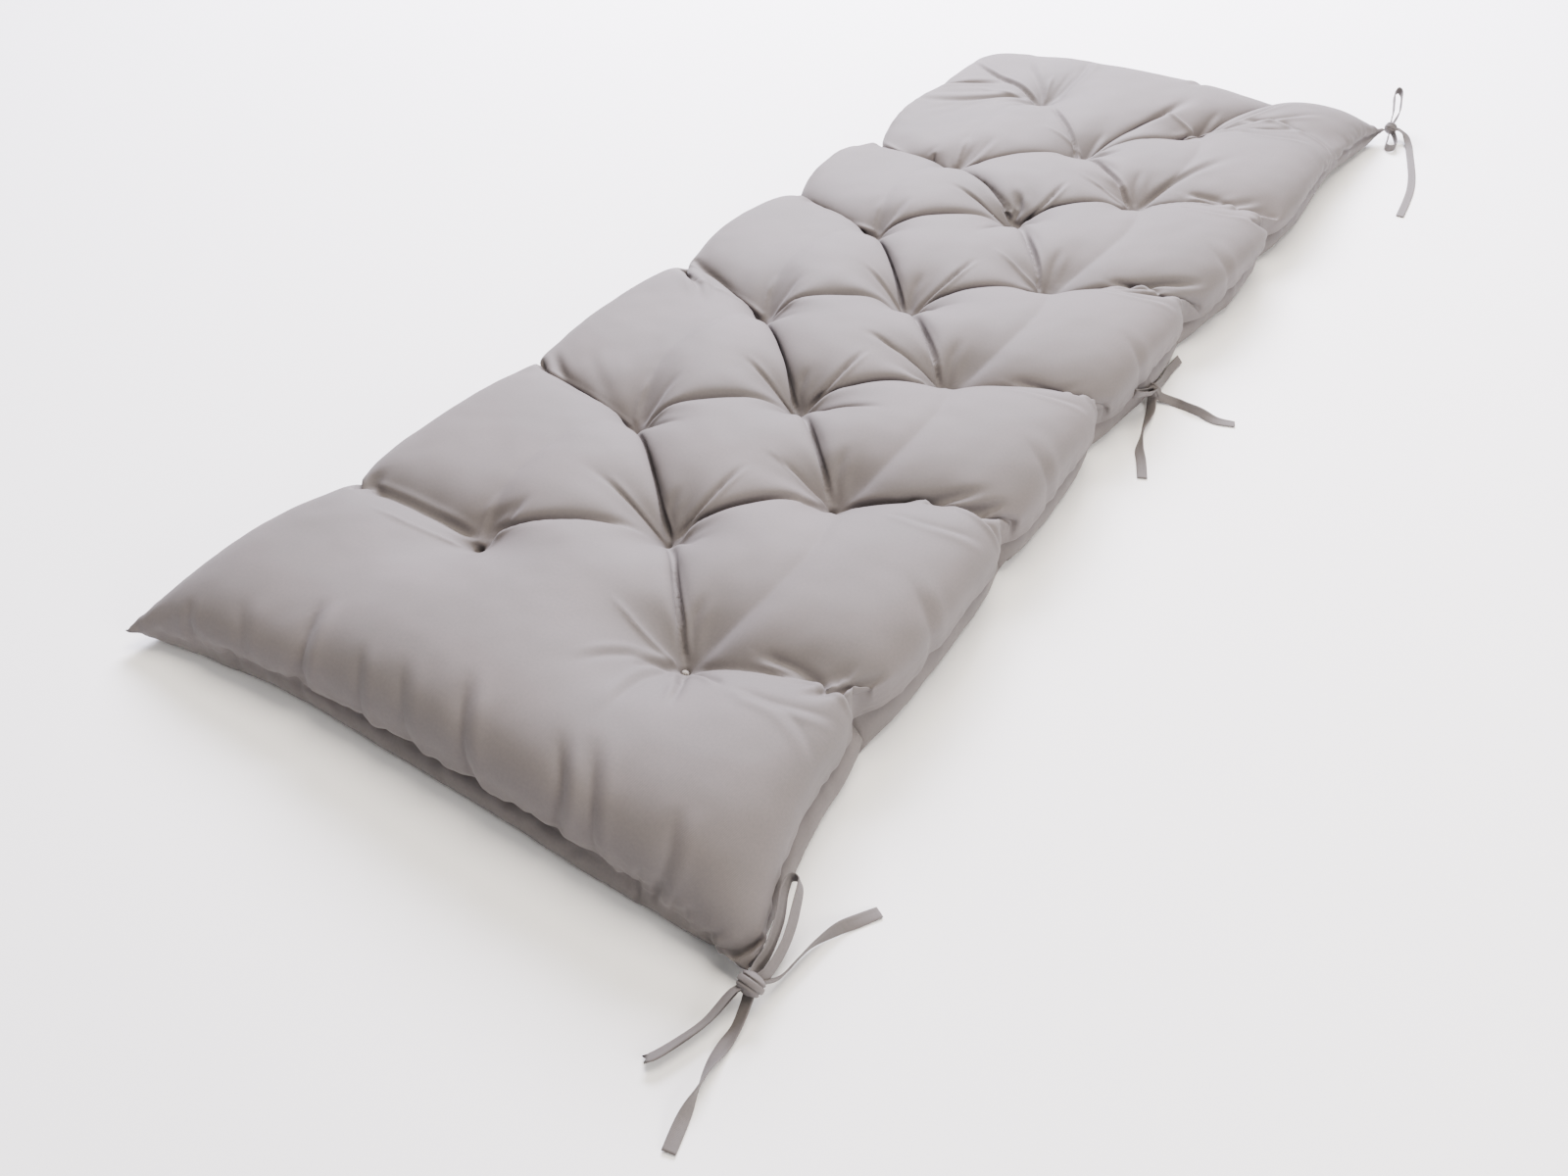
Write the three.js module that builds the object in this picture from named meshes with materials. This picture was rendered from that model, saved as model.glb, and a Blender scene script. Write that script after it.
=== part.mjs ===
// Bench cushion: two panels sewn together round the rim, filled, and drawn down by stitched tufts.
// Three tape ties are knotted in bows along its +X side. Millimetres, +Z up. The cushion lies on its
// back on the floor, its length along Y; the origin is on the floor under its middle.
import * as THREE from 'three';

// Driving dimensions
const CROWN = 92;             // height of the filling between the tufts, at the near end
const FAR_CROWN = 76;         // the same, at the far end
const LEFT_DROP = 20;         // how much lower the filling is along the left side
const SEAM_HEIGHT = 22;       // height of the rim seam above the floor
const TUFT_HEIGHT = 38;       // height at which a stitch holds the two panels together
const TUFT_GAP = 2;           // cloth and stitch between the panels at a tuft
const RIM = 70;               // how far in from a side seam the filling reaches its full height
const RIM_END = 100;          // the same, from an end seam
const UNDER = 35;             // how far in from the seam the underside comes down to the floor
const BELLY = 9;              // how far the filling bulges out over the seam
const BELLY_AT = 18;          // distance in from the seam of the widest point
const NOTCH = 18;             // how far a channel draws the side seam in
const NOTCH_HALF = 20;        // half width of that draw
const FLAT_WIDTH = 615;       // cut width of a panel
const FLAT_LENGTH = 1560;     // cut length of a panel
const FLAT_PITCH = 237;       // tuft rows on the cut panel
const FLAT_COLUMN = 115;      // tuft columns on the cut panel, from its middle
const TAPE_WIDTH = 9.5;
const TAPE_THICK = 1.4;
const CLEAR = 0.3;            // gap between a strand and its knot

// The seam of each edge on the finished cushion, x and y, from the near end to the far end
const LEFT_SEAM = [[-302, -764], [-284, -700], [-258, -600], [-238, -400], [-229, -150], [-218, 100],
  [-208, 350], [-207, 550], [-222, 640], [-246, 680]];
const RIGHT_SEAM = [[298, -758], [269, -690], [249, -600], [255, -420], [249, -150], [251, 80],
  [268, 300], [275, 500], [284, 680], [302, 764]];
// and from the left to the right
const NEAR_SEAM = [[-302, -764], [-250, -748], [-150, -734], [-30, -729], [80, -732], [180, -741],
  [250, -750], [298, -758]];
const FAR_SEAM = [[-246, 680], [-200, 679], [-100, 686], [0, 698], [100, 710], [200, 729], [302, 764]];
const LEFT_NOTCHES = [-550, -320, -65, 140, 325];
const RIGHT_NOTCHES = [-540, -300, -90, 130, 360];

// Tufts on the finished cushion, x and y, one row to a line from the near end
const LEFT_TUFTS = [[-103, -551], [-93, -352], [-98, -130], [-91, 83], [-93, 278], [-80, 501]];
const MIDDLE_TUFTS = [[29, -467], [19, -252], [19, -43], [29, 194], [25, 385]];
const RIGHT_TUFTS = [[124, -581], [116, -353], [116, -148], [121, 65], [126, 303], [111, 503]];

// Creases: share of a tuft's depth, and half width
const DIAMOND = {share: 0.5, half: 18};
const CHANNEL = {share: 0.6, half: 22};
const LAST_CHANNEL = {share: 0.2, half: 22};
const CHANNEL_END = 262;
const LAST_CHANNEL_Y = 600;

// How the cut panel's tuft columns and rows share out the finished width and length, -1 to 1
const COLUMN_SHARES = [-1, -0.43, 0.05, 0.45, 1];
const ROW_SHARES = [-1, -0.765, -0.468, -0.169, 0.128, 0.429, 0.724, 1];

// Cells: a margin, then between the columns, and between the rows
const MARGIN_CELLS = 8;
const COLUMN_CELLS = 6;
const ROW_CELLS = 12;
const MARGIN_STEPS = [0, 0.035, 0.095, 0.19, 0.32, 0.48, 0.65, 0.825, 1];

const TUFTS = [...LEFT_TUFTS, ...MIDDLE_TUFTS, ...RIGHT_TUFTS];

function smooth(t) {
  const c = Math.min(Math.max(t, 0), 1);
  return c * c * (3 - 2 * c);
}

function quarter(distance, radius) {
  const t = Math.min(Math.max(distance / radius, 0), 1);
  return Math.sqrt(1 - (1 - t) ** 2);
}

function interpolate(value, from, to) {
  let k = 0;
  while (k < from.length - 2 && value > from[k + 1]) k += 1;
  const t = (value - from[k]) / (from[k + 1] - from[k]);
  return to[k] + t * (to[k + 1] - to[k]);
}

// A smooth curve through the points of an edge; axis is the coordinate that runs along it
function edge(points, share, axis) {
  const other = 1 - axis;
  const first = points[0][axis];
  const length = points[points.length - 1][axis] - first;
  const s = points.map((p) => (p[axis] - first) / length);
  const slope = points.map((p, k) => {
    const a = Math.max(k - 1, 0);
    const b = Math.min(k + 1, points.length - 1);
    return (points[b][other] - points[a][other]) / (s[b] - s[a]);
  });
  let k = 0;
  while (k < s.length - 2 && share > s[k + 1]) k += 1;
  const h = s[k + 1] - s[k];
  const x = (share - s[k]) / h;
  const across = (1 + 2 * x) * (1 - x) ** 2 * points[k][other] + x * (1 - x) ** 2 * h * slope[k]
    + x * x * (3 - 2 * x) * points[k + 1][other] + x * x * (x - 1) * h * slope[k + 1];
  const along = first + share * length;
  return axis === 0 ? [along, across] : [across, along];
}

// Panel position, -1 to 1 each way, to the finished plan: a patch between the four edges
function plan(u, v) {
  const a = (u + 1) / 2;
  const b = (v + 1) / 2;
  const left = edge(LEFT_SEAM, b, 1);
  const right = edge(RIGHT_SEAM, b, 1);
  const near = edge(NEAR_SEAM, a, 0);
  const far = edge(FAR_SEAM, a, 0);
  for (const y of LEFT_NOTCHES) left[0] += NOTCH * Math.exp(-(((left[1] - y) / NOTCH_HALF) ** 2));
  for (const y of RIGHT_NOTCHES) right[0] -= NOTCH * Math.exp(-(((right[1] - y) / NOTCH_HALF) ** 2));
  const corners = [NEAR_SEAM[0], NEAR_SEAM[7], FAR_SEAM[0], FAR_SEAM[6]];
  return [0, 1].map((c) => (1 - b) * near[c] + b * far[c] + (1 - a) * left[c] + a * right[c]
    - (1 - a) * (1 - b) * corners[0][c] - a * (1 - b) * corners[1][c]
    - (1 - a) * b * corners[2][c] - a * b * corners[3][c]);
}

function creases() {
  const rows = [];
  for (let k = 0; k < 5; k += 1) {
    for (const side of [LEFT_TUFTS, RIGHT_TUFTS]) {
      rows.push({from: side[k], to: MIDDLE_TUFTS[k], ...DIAMOND});
      rows.push({from: MIDDLE_TUFTS[k], to: side[k + 1], ...DIAMOND});
    }
  }
  for (let k = 0; k < 6; k += 1) {
    const size = k < 5 ? CHANNEL : LAST_CHANNEL;
    const leftY = k < 5 ? LEFT_NOTCHES[k] : LAST_CHANNEL_Y;
    const rightY = k < 5 ? RIGHT_NOTCHES[k] : LAST_CHANNEL_Y;
    rows.push({from: LEFT_TUFTS[k], to: [-CHANNEL_END, leftY], ...size});
    rows.push({from: RIGHT_TUFTS[k], to: [CHANNEL_END, rightY], ...size});
  }
  return rows;
}

const CREASES = creases();

// Share of the crown that is kept at a point: none at a tuft, less along a crease
function kept(x, y) {
  let keep = 1;
  for (const [a, b] of TUFTS) keep *= 1 - Math.exp(-((Math.hypot(x - a, y - b) / 30) ** 1.2));
  for (const {from, to, share, half} of CREASES) {
    const ex = to[0] - from[0];
    const ey = to[1] - from[1];
    const length = Math.hypot(ex, ey);
    const t = ((x - from[0]) * ex + (y - from[1]) * ey) / length ** 2;
    const off = Math.abs((x - from[0]) * ey - (y - from[1]) * ex) / length;
    const beyond = Math.max(-t, t - 1, 0) * length;
    keep = Math.min(keep, 1 - share * Math.exp(-((Math.hypot(off, beyond) / half) ** 1.1)));
  }
  return keep;
}

function topHeight(x, y, inX, inY) {
  const full = quarter(inX, RIM) ** 0.9 * quarter(inY, RIM_END) ** 0.9;
  const crown = CROWN + (FAR_CROWN - CROWN) * smooth((y + 250) / 750) - LEFT_DROP * smooth((-80 - x) / 80);
  const dome = SEAM_HEIGHT + (crown - SEAM_HEIGHT) * full;
  const deep = crown - TUFT_HEIGHT;
  const room = Math.min(Math.max((dome - TUFT_HEIGHT) / deep, 0), 1);
  return dome - deep * room * (1 - kept(x, y));
}

function underHeight(x, y, inX, inY) {
  let lift = 0;
  for (const [a, b] of TUFTS) lift = Math.max(lift, smooth(1 - Math.hypot(x - a, y - b) / 55));
  const rise = SEAM_HEIGHT * (1 - quarter(Math.min(inX, inY), UNDER));
  return Math.max(rise, (TUFT_HEIGHT - TUFT_GAP) * lift);
}

// Cut-panel coordinates of the grid lines: a margin, the tufts' spacing, a margin
function lines(half, tufts, between) {
  const out = MARGIN_STEPS.map((m) => -half + m * (half + tufts[0]));
  for (let k = 0; k < tufts.length - 1; k += 1) {
    for (let n = 1; n <= between; n += 1) out.push(tufts[k] + n / between * (tufts[k + 1] - tufts[k]));
  }
  for (let m = MARGIN_CELLS - 1; m >= 0; m -= 1) out.push(half - MARGIN_STEPS[m] * (half + tufts[0]));
  return out;
}

const COLUMNS = [-FLAT_COLUMN, 0, FLAT_COLUMN];
const ROWS = [0, 1, 2, 3, 4, 5].map((k) => (k - 2.5) * FLAT_PITCH);

// The cut panel's points on the finished plan, with each tuft's surroundings drawn onto the tuft
function finished(flatX, flatY) {
  const sharesX = [-FLAT_WIDTH / 2, ...COLUMNS, FLAT_WIDTH / 2];
  const sharesY = [-FLAT_LENGTH / 2, ...ROWS, FLAT_LENGTH / 2];
  const place = (x, y) => plan(interpolate(x, sharesX, COLUMN_SHARES), interpolate(y, sharesY, ROW_SHARES));
  const flatTufts = [...ROWS.map((y) => [-FLAT_COLUMN, y]),
    ...ROWS.slice(0, 5).map((y) => [0, y + FLAT_PITCH / 2]), ...ROWS.map((y) => [FLAT_COLUMN, y])];
  const shifts = flatTufts.map(([x, y], k) => {
    const [px, py] = place(x, y);
    return [TUFTS[k][0] - px, TUFTS[k][1] - py];
  });
  const [x, y] = place(flatX, flatY);
  let total = 0;
  let dx = 0;
  let dy = 0;
  flatTufts.forEach(([a, b], k) => {
    const w = Math.exp(-((Math.hypot(flatX - a, flatY - b) / 60) ** 2));
    total += w;
    dx += w * shifts[k][0];
    dy += w * shifts[k][1];
  });
  return [x + dx / Math.max(total, 1), y + dy / Math.max(total, 1)];
}

function topPoint(flatX, flatY) {
  const inX = FLAT_WIDTH / 2 - Math.abs(flatX);
  const inY = FLAT_LENGTH / 2 - Math.abs(flatY);
  const [x, y] = finished(flatX, flatY);
  const z = topHeight(x, y, inX, inY);
  const corner = smooth(Math.hypot(inX, inY) / 110) * smooth(Math.max(inX, inY) / 110);
  const swell = (d) => d / BELLY_AT * Math.exp(1 - d / BELLY_AT) * BELLY * corner * kept(x, y);
  return [x + Math.sign(flatX) * swell(inX), y + Math.sign(flatY) * swell(inY), z];
}

function underPoint(flatX, flatY) {
  const inX = FLAT_WIDTH / 2 - Math.abs(flatX);
  const inY = FLAT_LENGTH / 2 - Math.abs(flatY);
  const [x, y] = finished(flatX, flatY);
  return [x, y, underHeight(x, y, inX, inY)];
}

function solid(name, points, triangles, colour) {
  const geometry = new THREE.BufferGeometry();
  geometry.setAttribute('position', new THREE.BufferAttribute(new Float32Array(points.flat()), 3));
  geometry.setIndex(triangles.flat());
  geometry.computeVertexNormals();
  const material = new THREE.MeshStandardMaterial({color: colour, roughness: 0.85, metalness: 0});
  const mesh = new THREE.Mesh(geometry, material);
  mesh.name = name;
  return mesh;
}

function cushionBody() {
  const xs = lines(FLAT_WIDTH / 2, COLUMNS, COLUMN_CELLS);
  const ys = lines(FLAT_LENGTH / 2, ROWS, ROW_CELLS);
  const nx = xs.length;
  const ny = ys.length;
  const points = [];
  const triangles = [];
  for (let i = 0; i < nx; i += 1) {
    for (let j = 0; j < ny; j += 1) points.push(topPoint(xs[i], ys[j]));
  }
  const top = (i, j) => i * ny + j;
  // each cell is split along the diagonal that lies nearer the true surface at its middle
  for (let i = 0; i < nx - 1; i += 1) {
    for (let j = 0; j < ny - 1; j += 1) {
      const [a, b, c, d] = [top(i, j), top(i + 1, j), top(i + 1, j + 1), top(i, j + 1)];
      const middle = topPoint((xs[i] + xs[i + 1]) / 2, (ys[j] + ys[j + 1]) / 2)[2];
      const first = Math.abs((points[a][2] + points[c][2]) / 2 - middle);
      const second = Math.abs((points[b][2] + points[d][2]) / 2 - middle);
      if (first <= second) triangles.push([a, b, c], [a, c, d]);
      else triangles.push([a, b, d], [b, c, d]);
    }
  }
  // the underside has every second line; its outer cells share the rim's points
  const under = new Map();
  const low = (i, j) => {
    const rim = i === 0 || j === 0 || i === nx - 1 || j === ny - 1;
    if (rim) return top(i, j);
    const key = i * ny + j;
    if (!under.has(key)) {
      under.set(key, points.length);
      points.push(underPoint(xs[i], ys[j]));
    }
    return under.get(key);
  };
  for (let i = 0; i < nx - 1; i += 2) {
    for (let j = 0; j < ny - 1; j += 2) {
      const ring = [low(i, j)];
      if (i === 0) ring.push(low(i, j + 1));
      ring.push(low(i, j + 2));
      if (j + 2 === ny - 1) ring.push(low(i + 1, j + 2));
      ring.push(low(i + 2, j + 2));
      if (i + 2 === nx - 1) ring.push(low(i + 2, j + 1));
      ring.push(low(i + 2, j));
      if (j === 0) ring.push(low(i + 1, j));
      // fan from the cell's corner that is farthest in from the rim
      const inner = low(i === 0 ? i + 2 : i, j === 0 ? j + 2 : j);
      const start = ring.indexOf(inner);
      for (let k = 1; k < ring.length - 1; k += 1) {
        triangles.push([inner, ring[(start + k) % ring.length], ring[(start + k + 1) % ring.length]]);
      }
    }
  }
  return solid('cushion_body', points, triangles, 0xb9b5b2);
}

// A flat tape along rows of x, y, z and lean; lean 0 lies flat and 90 stands on its edge
function tape(name, rows) {
  const curve = new THREE.CatmullRomCurve3(rows.map((r) => new THREE.Vector3(r[0], r[1], r[2])),
    false, 'centripetal');
  const count = Math.max(Math.round(curve.getLength() / 6), 6);
  const up = new THREE.Vector3(0, 0, 1);
  const points = [];
  const triangles = [];
  let last = null;
  for (let k = 0; k <= count; k += 1) {
    const t = curve.getUtoTmapping(k / count);
    const p = curve.getPoint(t);
    const along = curve.getTangent(t);
    const at = t * (rows.length - 1);
    const n = Math.min(Math.floor(at), rows.length - 2);
    const lean = THREE.MathUtils.degToRad(rows[n][3] + (at - n) * (rows[n + 1][3] - rows[n][3]));
    const level = new THREE.Vector3(-along.y, along.x, 0);
    const side = level.length() > 0.3 ? level.normalize() : last.clone();
    if (last && side.dot(last) < 0) side.negate();
    last = side.clone();
    const wide = side.multiplyScalar(Math.cos(lean)).addScaledVector(up, Math.sin(lean));
    wide.addScaledVector(along, -wide.dot(along)).normalize();
    const thick = new THREE.Vector3().crossVectors(along, wide).normalize();
    for (const [a, b] of [[-1, -1], [1, -1], [1, 1], [-1, 1]]) {
      const q = p.clone().addScaledVector(wide, a * TAPE_WIDTH / 2).addScaledVector(thick, b * TAPE_THICK / 2);
      points.push([q.x, q.y, q.z]);
    }
    if (k > 0) {
      for (let e = 0; e < 4; e += 1) {
        const a = (k - 1) * 4 + e;
        const b = (k - 1) * 4 + (e + 1) % 4;
        triangles.push([a, b, b + 4], [a, b + 4, a + 4]);
      }
    }
  }
  const end = count * 4;
  triangles.push([0, 2, 1], [0, 3, 2], [end, end + 1, end + 2], [end, end + 2, end + 3]);
  return solid(name, points, triangles, 0xb4b1b3);
}

function knot(name, [x, y, z], [rx, ry, rz]) {
  const rings = 8;
  const sides = 14;
  const points = [[x, y, z - rz]];
  for (let r = 1; r < rings; r += 1) {
    const a = Math.PI * (r / rings - 0.5);
    for (let s = 0; s < sides; s += 1) {
      const b = 2 * Math.PI * s / sides;
      const flat = Math.cos(a) ** 0.7;
      points.push([x + rx * flat * Math.cos(b), y + ry * flat * Math.sin(b), z + rz * Math.sin(a)]);
    }
  }
  points.push([x, y, z + rz]);
  const last = points.length - 1;
  const triangles = [];
  for (let s = 0; s < sides; s += 1) {
    const next = (s + 1) % sides;
    triangles.push([0, 1 + next, 1 + s], [last, last - sides + s, last - sides + next]);
    for (let r = 0; r < rings - 2; r += 1) {
      const a = 1 + r * sides + s;
      const b = 1 + r * sides + next;
      triangles.push([a, b, b + sides], [a, b + sides, a + sides]);
    }
  }
  return solid(name, points, triangles, 0xb0adaf);
}

// Knots: centre and half sizes. Those at the corners hang at the tips; the middle one is on a short
// tail that comes out of the side seam.
const KNOTS = {
  near_knot: {centre: [302.9, -763.2, 16.2], half: [9.5, 8, 8.5]},
  middle_knot: {centre: [269, 22, 12], half: [7.5, 7.5, 7.5]},
  far_knot: {centre: [307.6, 767.6, 17.3], half: [7.5, 7, 8]},
};

// Strands of the ties. Each leaves its knot at a bearing and a rise, in degrees, passes through rows of
// x, y, z of the middle of the tape and its lean in degrees, and either ends free or comes back.
const FLOOR = CLEAR + TAPE_THICK / 2 + 0.2;
const STRANDS = {
  near_loop_up: {knot: 'near_knot', leave: [100, 18], rows: [[301.5, -742, 23, 85], [296, -718, 28, 88],
    [288, -699, 32, 90], [287, -689, 33, 90], [292.5, -688, 32, 90], [301, -706, 28, 88], [308, -731, 23, 85]],
  back: [62, 16]},
  near_loop_low: {knot: 'near_knot', leave: [218, -38], rows: [[290, -793, 1.6, 0], [284, -813, 1.4, 0],
    [276, -831, 1.4, 0], [274, -835.5, 3.4, 0], [277, -832, 5.4, 0], [284.5, -814, 5.6, 0],
    [290.5, -796, 6.2, 0]], back: [232, -8]},
  near_end_right: {knot: 'near_knot', leave: [40, -25], rows: [[316, -742, 2.2, 0], [312, -722, FLOOR, 0],
    [317, -699, FLOOR, 0], [326, -684, FLOOR, 0], [334, -672, FLOOR, 0], [341, -661, FLOOR, 0]]},
  near_end_down: {knot: 'near_knot', leave: [285, -35], rows: [[309, -791, 2, 0], [309, -804, FLOOR, 0],
    [309, -822, FLOOR, 0], [312, -838, FLOOR, 0], [315, -858, FLOOR, 0], [319, -877, FLOOR, 0]]},
  middle_loop: {knot: 'middle_knot', leave: [255, 32], rows: [[266, -2, 19, 88], [267, -18, 22, 90],
    [269, -34, 24, 90], [273, -40, 24, 90], [277, -32, 22, 90], [277, -14, 19, 90], [274.5, -2, 18, 88]],
  back: [292, 28]},
  middle_strip: {knot: 'middle_knot', leave: [92, -5], rows: [[269, 44, 9, 65], [268, 57, 7, 60],
    [267, 72, 6, 50], [267, 88, 5.5, 45], [268, 102, 5.5, 45]]},
  middle_end_right: {knot: 'middle_knot', leave: [15, -32], rows: [[290, 27, 2, 0], [302, 25, FLOOR, 0],
    [318, 23, FLOOR, 0], [336, 21, FLOOR, 0], [354, 27, FLOOR, 0]]},
  middle_end_down: {knot: 'middle_knot', leave: [290, -38], rows: [[276, 2, 2, 0], [280, -18, FLOOR, 0],
    [284, -42, FLOOR, 0], [291, -66, FLOOR, 0], [299, -81, FLOOR, 0], [310, -105, FLOOR, 0]]},
  far_loop_up: {knot: 'far_knot', leave: [112, 35], rows: [[302, 791, 27, 88], [297, 806, 35, 90],
    [293, 818, 42, 90], [295, 826, 45, 90], [300, 823, 43, 90], [305, 809, 36, 90], [309, 794, 29, 88]],
  back: [84, 32]},
  far_loop_low: {knot: 'far_knot', leave: [278, -42], rows: [[311, 750, 6, 88], [312, 738, 5.6, 90],
    [317, 732, 5.6, 90], [322, 736, 5.6, 90], [323, 748, 6, 90]], back: [318, -26]},
  far_end: {knot: 'far_knot', leave: [20, -5], rows: [[327, 772, 11, 0], [336, 762, 4, 0],
    [345, 737, FLOOR, 0], [355, 704, FLOOR, 0], [364, 671, FLOOR, 0], [371, 636, FLOOR, 0],
    [375, 600, FLOOR, 0], [378, 558, FLOOR, 0]]},
};

// Where a strand meets its knot, and a point 3 mm farther out
function atKnot(name, [bearing, rise], lean) {
  const {centre, half} = KNOTS[name];
  const b = THREE.MathUtils.degToRad(bearing);
  const a = THREE.MathUtils.degToRad(rise);
  const level = Math.cos(a) ** 0.7;
  const skin = new THREE.Vector3(centre[0] + half[0] * level * Math.cos(b),
    centre[1] + half[1] * level * Math.sin(b), centre[2] + half[2] * Math.sin(a));
  const out = new THREE.Vector3(Math.cos(a) * Math.cos(b) / half[0], Math.cos(a) * Math.sin(b) / half[1],
    Math.sin(a) / half[2]).normalize();
  return [CLEAR, CLEAR + 3].map((d) => {
    const p = skin.clone().addScaledVector(out, d);
    return [p.x, p.y, p.z, lean];
  });
}

function strandRows({knot: name, leave, rows, back}) {
  const first = atKnot(name, leave, rows[0][3]);
  const last = back ? atKnot(name, back, rows[rows.length - 1][3]).reverse() : [];
  return [...first, ...rows, ...last];
}

// The middle tie's tail: from the side seam to its knot
function tailRows() {
  const {centre, half} = KNOTS.middle_knot;
  let [low, high] = [-FLAT_LENGTH / 2, FLAT_LENGTH / 2];
  while (high - low > 0.01) {
    const middle = (low + high) / 2;
    if (topPoint(FLAT_WIDTH / 2, middle)[1] < centre[1]) low = middle;
    else high = middle;
  }
  const x = topPoint(FLAT_WIDTH / 2, low)[0] + CLEAR;
  const reach = centre[0] - half[0] - CLEAR;
  return [[x, centre[1], SEAM_HEIGHT - 0.5, 0], [(x + reach) / 2, centre[1], (SEAM_HEIGHT + centre[2]) / 2, 0],
    [reach - 3, centre[1], centre[2], 0], [reach, centre[1], centre[2], 0]];
}

const part = new THREE.Group();
part.name = 'bench_cushion';
part.add(cushionBody());
for (const [name, {centre, half}] of Object.entries(KNOTS)) part.add(knot(name, centre, half));
for (const [name, strand] of Object.entries(STRANDS)) part.add(tape(name, strandRows(strand)));
part.add(tape('middle_tail', tailRows()));

export default part;
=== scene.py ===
# %% [markdown]
# # A tufted bench cushion
#
# The object is a long seat pad: two equal cloth panels sewn together round the rim, filled with fibre, and
# drawn down by seventeen stitched tufts, with three tape ties knotted along one side. The script builds the
# cushion as a maker does. It starts from the two flat panels, sews them, holds them at the tufts, and lets a
# filling push them apart, so the domes and the creases come out of the cloth's own fixed length.

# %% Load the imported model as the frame
import bpy
import numpy as np
from mathutils import Matrix


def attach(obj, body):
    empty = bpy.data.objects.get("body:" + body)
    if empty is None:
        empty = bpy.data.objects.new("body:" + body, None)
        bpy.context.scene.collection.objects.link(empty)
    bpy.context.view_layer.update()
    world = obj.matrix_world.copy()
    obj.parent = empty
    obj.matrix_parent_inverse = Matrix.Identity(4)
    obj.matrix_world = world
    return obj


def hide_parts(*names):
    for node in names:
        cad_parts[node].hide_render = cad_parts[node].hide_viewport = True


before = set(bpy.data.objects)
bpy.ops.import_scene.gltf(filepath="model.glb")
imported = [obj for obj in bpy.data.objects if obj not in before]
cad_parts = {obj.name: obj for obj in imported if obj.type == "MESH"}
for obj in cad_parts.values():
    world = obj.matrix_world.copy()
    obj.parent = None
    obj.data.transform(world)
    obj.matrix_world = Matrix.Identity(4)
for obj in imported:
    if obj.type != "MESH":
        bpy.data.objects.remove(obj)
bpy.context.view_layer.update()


def linear(code):
    """An sRGB hex value such as "#b8b3ae" as linear red, green, blue and alpha."""
    channels = np.array([int(code[k:k + 2], 16) for k in (1, 3, 5)]) / 255
    lin = np.where(channels <= 0.04045, channels / 12.92, ((channels + 0.055) / 1.055) ** 2.4)
    return (*[float(c) for c in lin], 1.0)


# %% [markdown]
# ## Camera
#
# The photograph was taken from about 42 degrees above the floor, from beyond the cushion's near right corner.
# The angles and the distance below were found by matching the four corners of the cushion. The camera is set
# from them first, because where the ties lie is judged in its view.

# %% The camera
def turn_and_place(obj, x_way, y_way, z_way, place):
    """Gives an object its three axes and its place as the columns of its matrix."""
    turn = np.eye(4)
    turn[:3] = np.stack([x_way, y_way, z_way, place], 1)
    obj.matrix_world = Matrix(turn.tolist())


AZIMUTH, ELEVATION, ROLL = np.radians([31.86, 42.157, 0.712])
SHIFT_X, SHIFT_Y, DISTANCE = 0.1309, 0.2745, 1.5164
FOCAL_PX, IMAGE_WIDTH, SENSOR_WIDTH = 1442.4, 1600, 36

back = np.array([np.sin(AZIMUTH) * np.cos(ELEVATION), -np.cos(AZIMUTH) * np.cos(ELEVATION),
                 np.sin(ELEVATION)])
right = np.cross(-back, [0, 0, 1])
right /= np.linalg.norm(right)
up = np.cross(right, -back)
cam_right = right * np.cos(ROLL) + up * np.sin(ROLL)
cam_up = -right * np.sin(ROLL) + up * np.cos(ROLL)
eye = -SHIFT_X * cam_right - SHIFT_Y * cam_up + DISTANCE * back

camera = bpy.data.objects.new("camera", bpy.data.cameras.new("camera"))
bpy.context.scene.collection.objects.link(camera)
camera.data.sensor_width = SENSOR_WIDTH
camera.data.lens = SENSOR_WIDTH * FOCAL_PX / IMAGE_WIDTH
turn_and_place(camera, cam_right, cam_up, back, eye)
bpy.context.scene.camera = camera
print("camera at", eye.round(3), "lens", round(camera.data.lens, 2), "mm")


# %% [markdown]
# ## The ties
#
# Each tie is a narrow fold of the cushion's cloth, stitched shut along one edge, so it is a flat tape about
# 9.5 mm wide that bends easily over its face and badly over its edge. A maker sews it in at the seam and ties
# it in a bow. Here a tape is a flattened oval profile carried along a smooth curve through the same points as
# the CAD solids, with a lean that says how far it stands on its edge.

# %% Helpers for meshes
def add_mesh(name, points, faces, flat=None):
    """A mesh object from rows of points and rows of corner numbers; flat gives each corner its UV."""
    mesh = bpy.data.meshes.new(name)
    sizes = np.array([len(face) for face in faces])
    loops = np.concatenate(faces)
    mesh.vertices.add(len(points))
    mesh.loops.add(len(loops))
    mesh.polygons.add(len(sizes))
    mesh.vertices.foreach_set("co", np.asarray(points, np.float32).ravel())
    mesh.loops.foreach_set("vertex_index", loops.astype(np.int32))
    mesh.polygons.foreach_set("loop_start", np.concatenate([[0], np.cumsum(sizes)[:-1]]).astype(np.int32))
    mesh.polygons.foreach_set("use_smooth", np.ones(len(sizes), bool))
    if flat is not None:
        layer = mesh.uv_layers.new(name="flat")
        layer.data.foreach_set("uv", np.asarray(flat, np.float32).ravel())
    mesh.update(calc_edges=True)
    mesh.validate()
    obj = bpy.data.objects.new(name, mesh)
    bpy.context.scene.collection.objects.link(obj)
    return obj


def ring_faces(n, m):
    """Corner numbers of n rings of m points, and the quads between them, each ring closed on itself."""
    ids = np.arange(n * m).reshape(n, m)
    following = np.roll(ids, -1, axis=1)
    return ids, np.stack([ids[:-1], following[:-1], following[1:], ids[1:]], -1).reshape(-1, 4)


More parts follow.
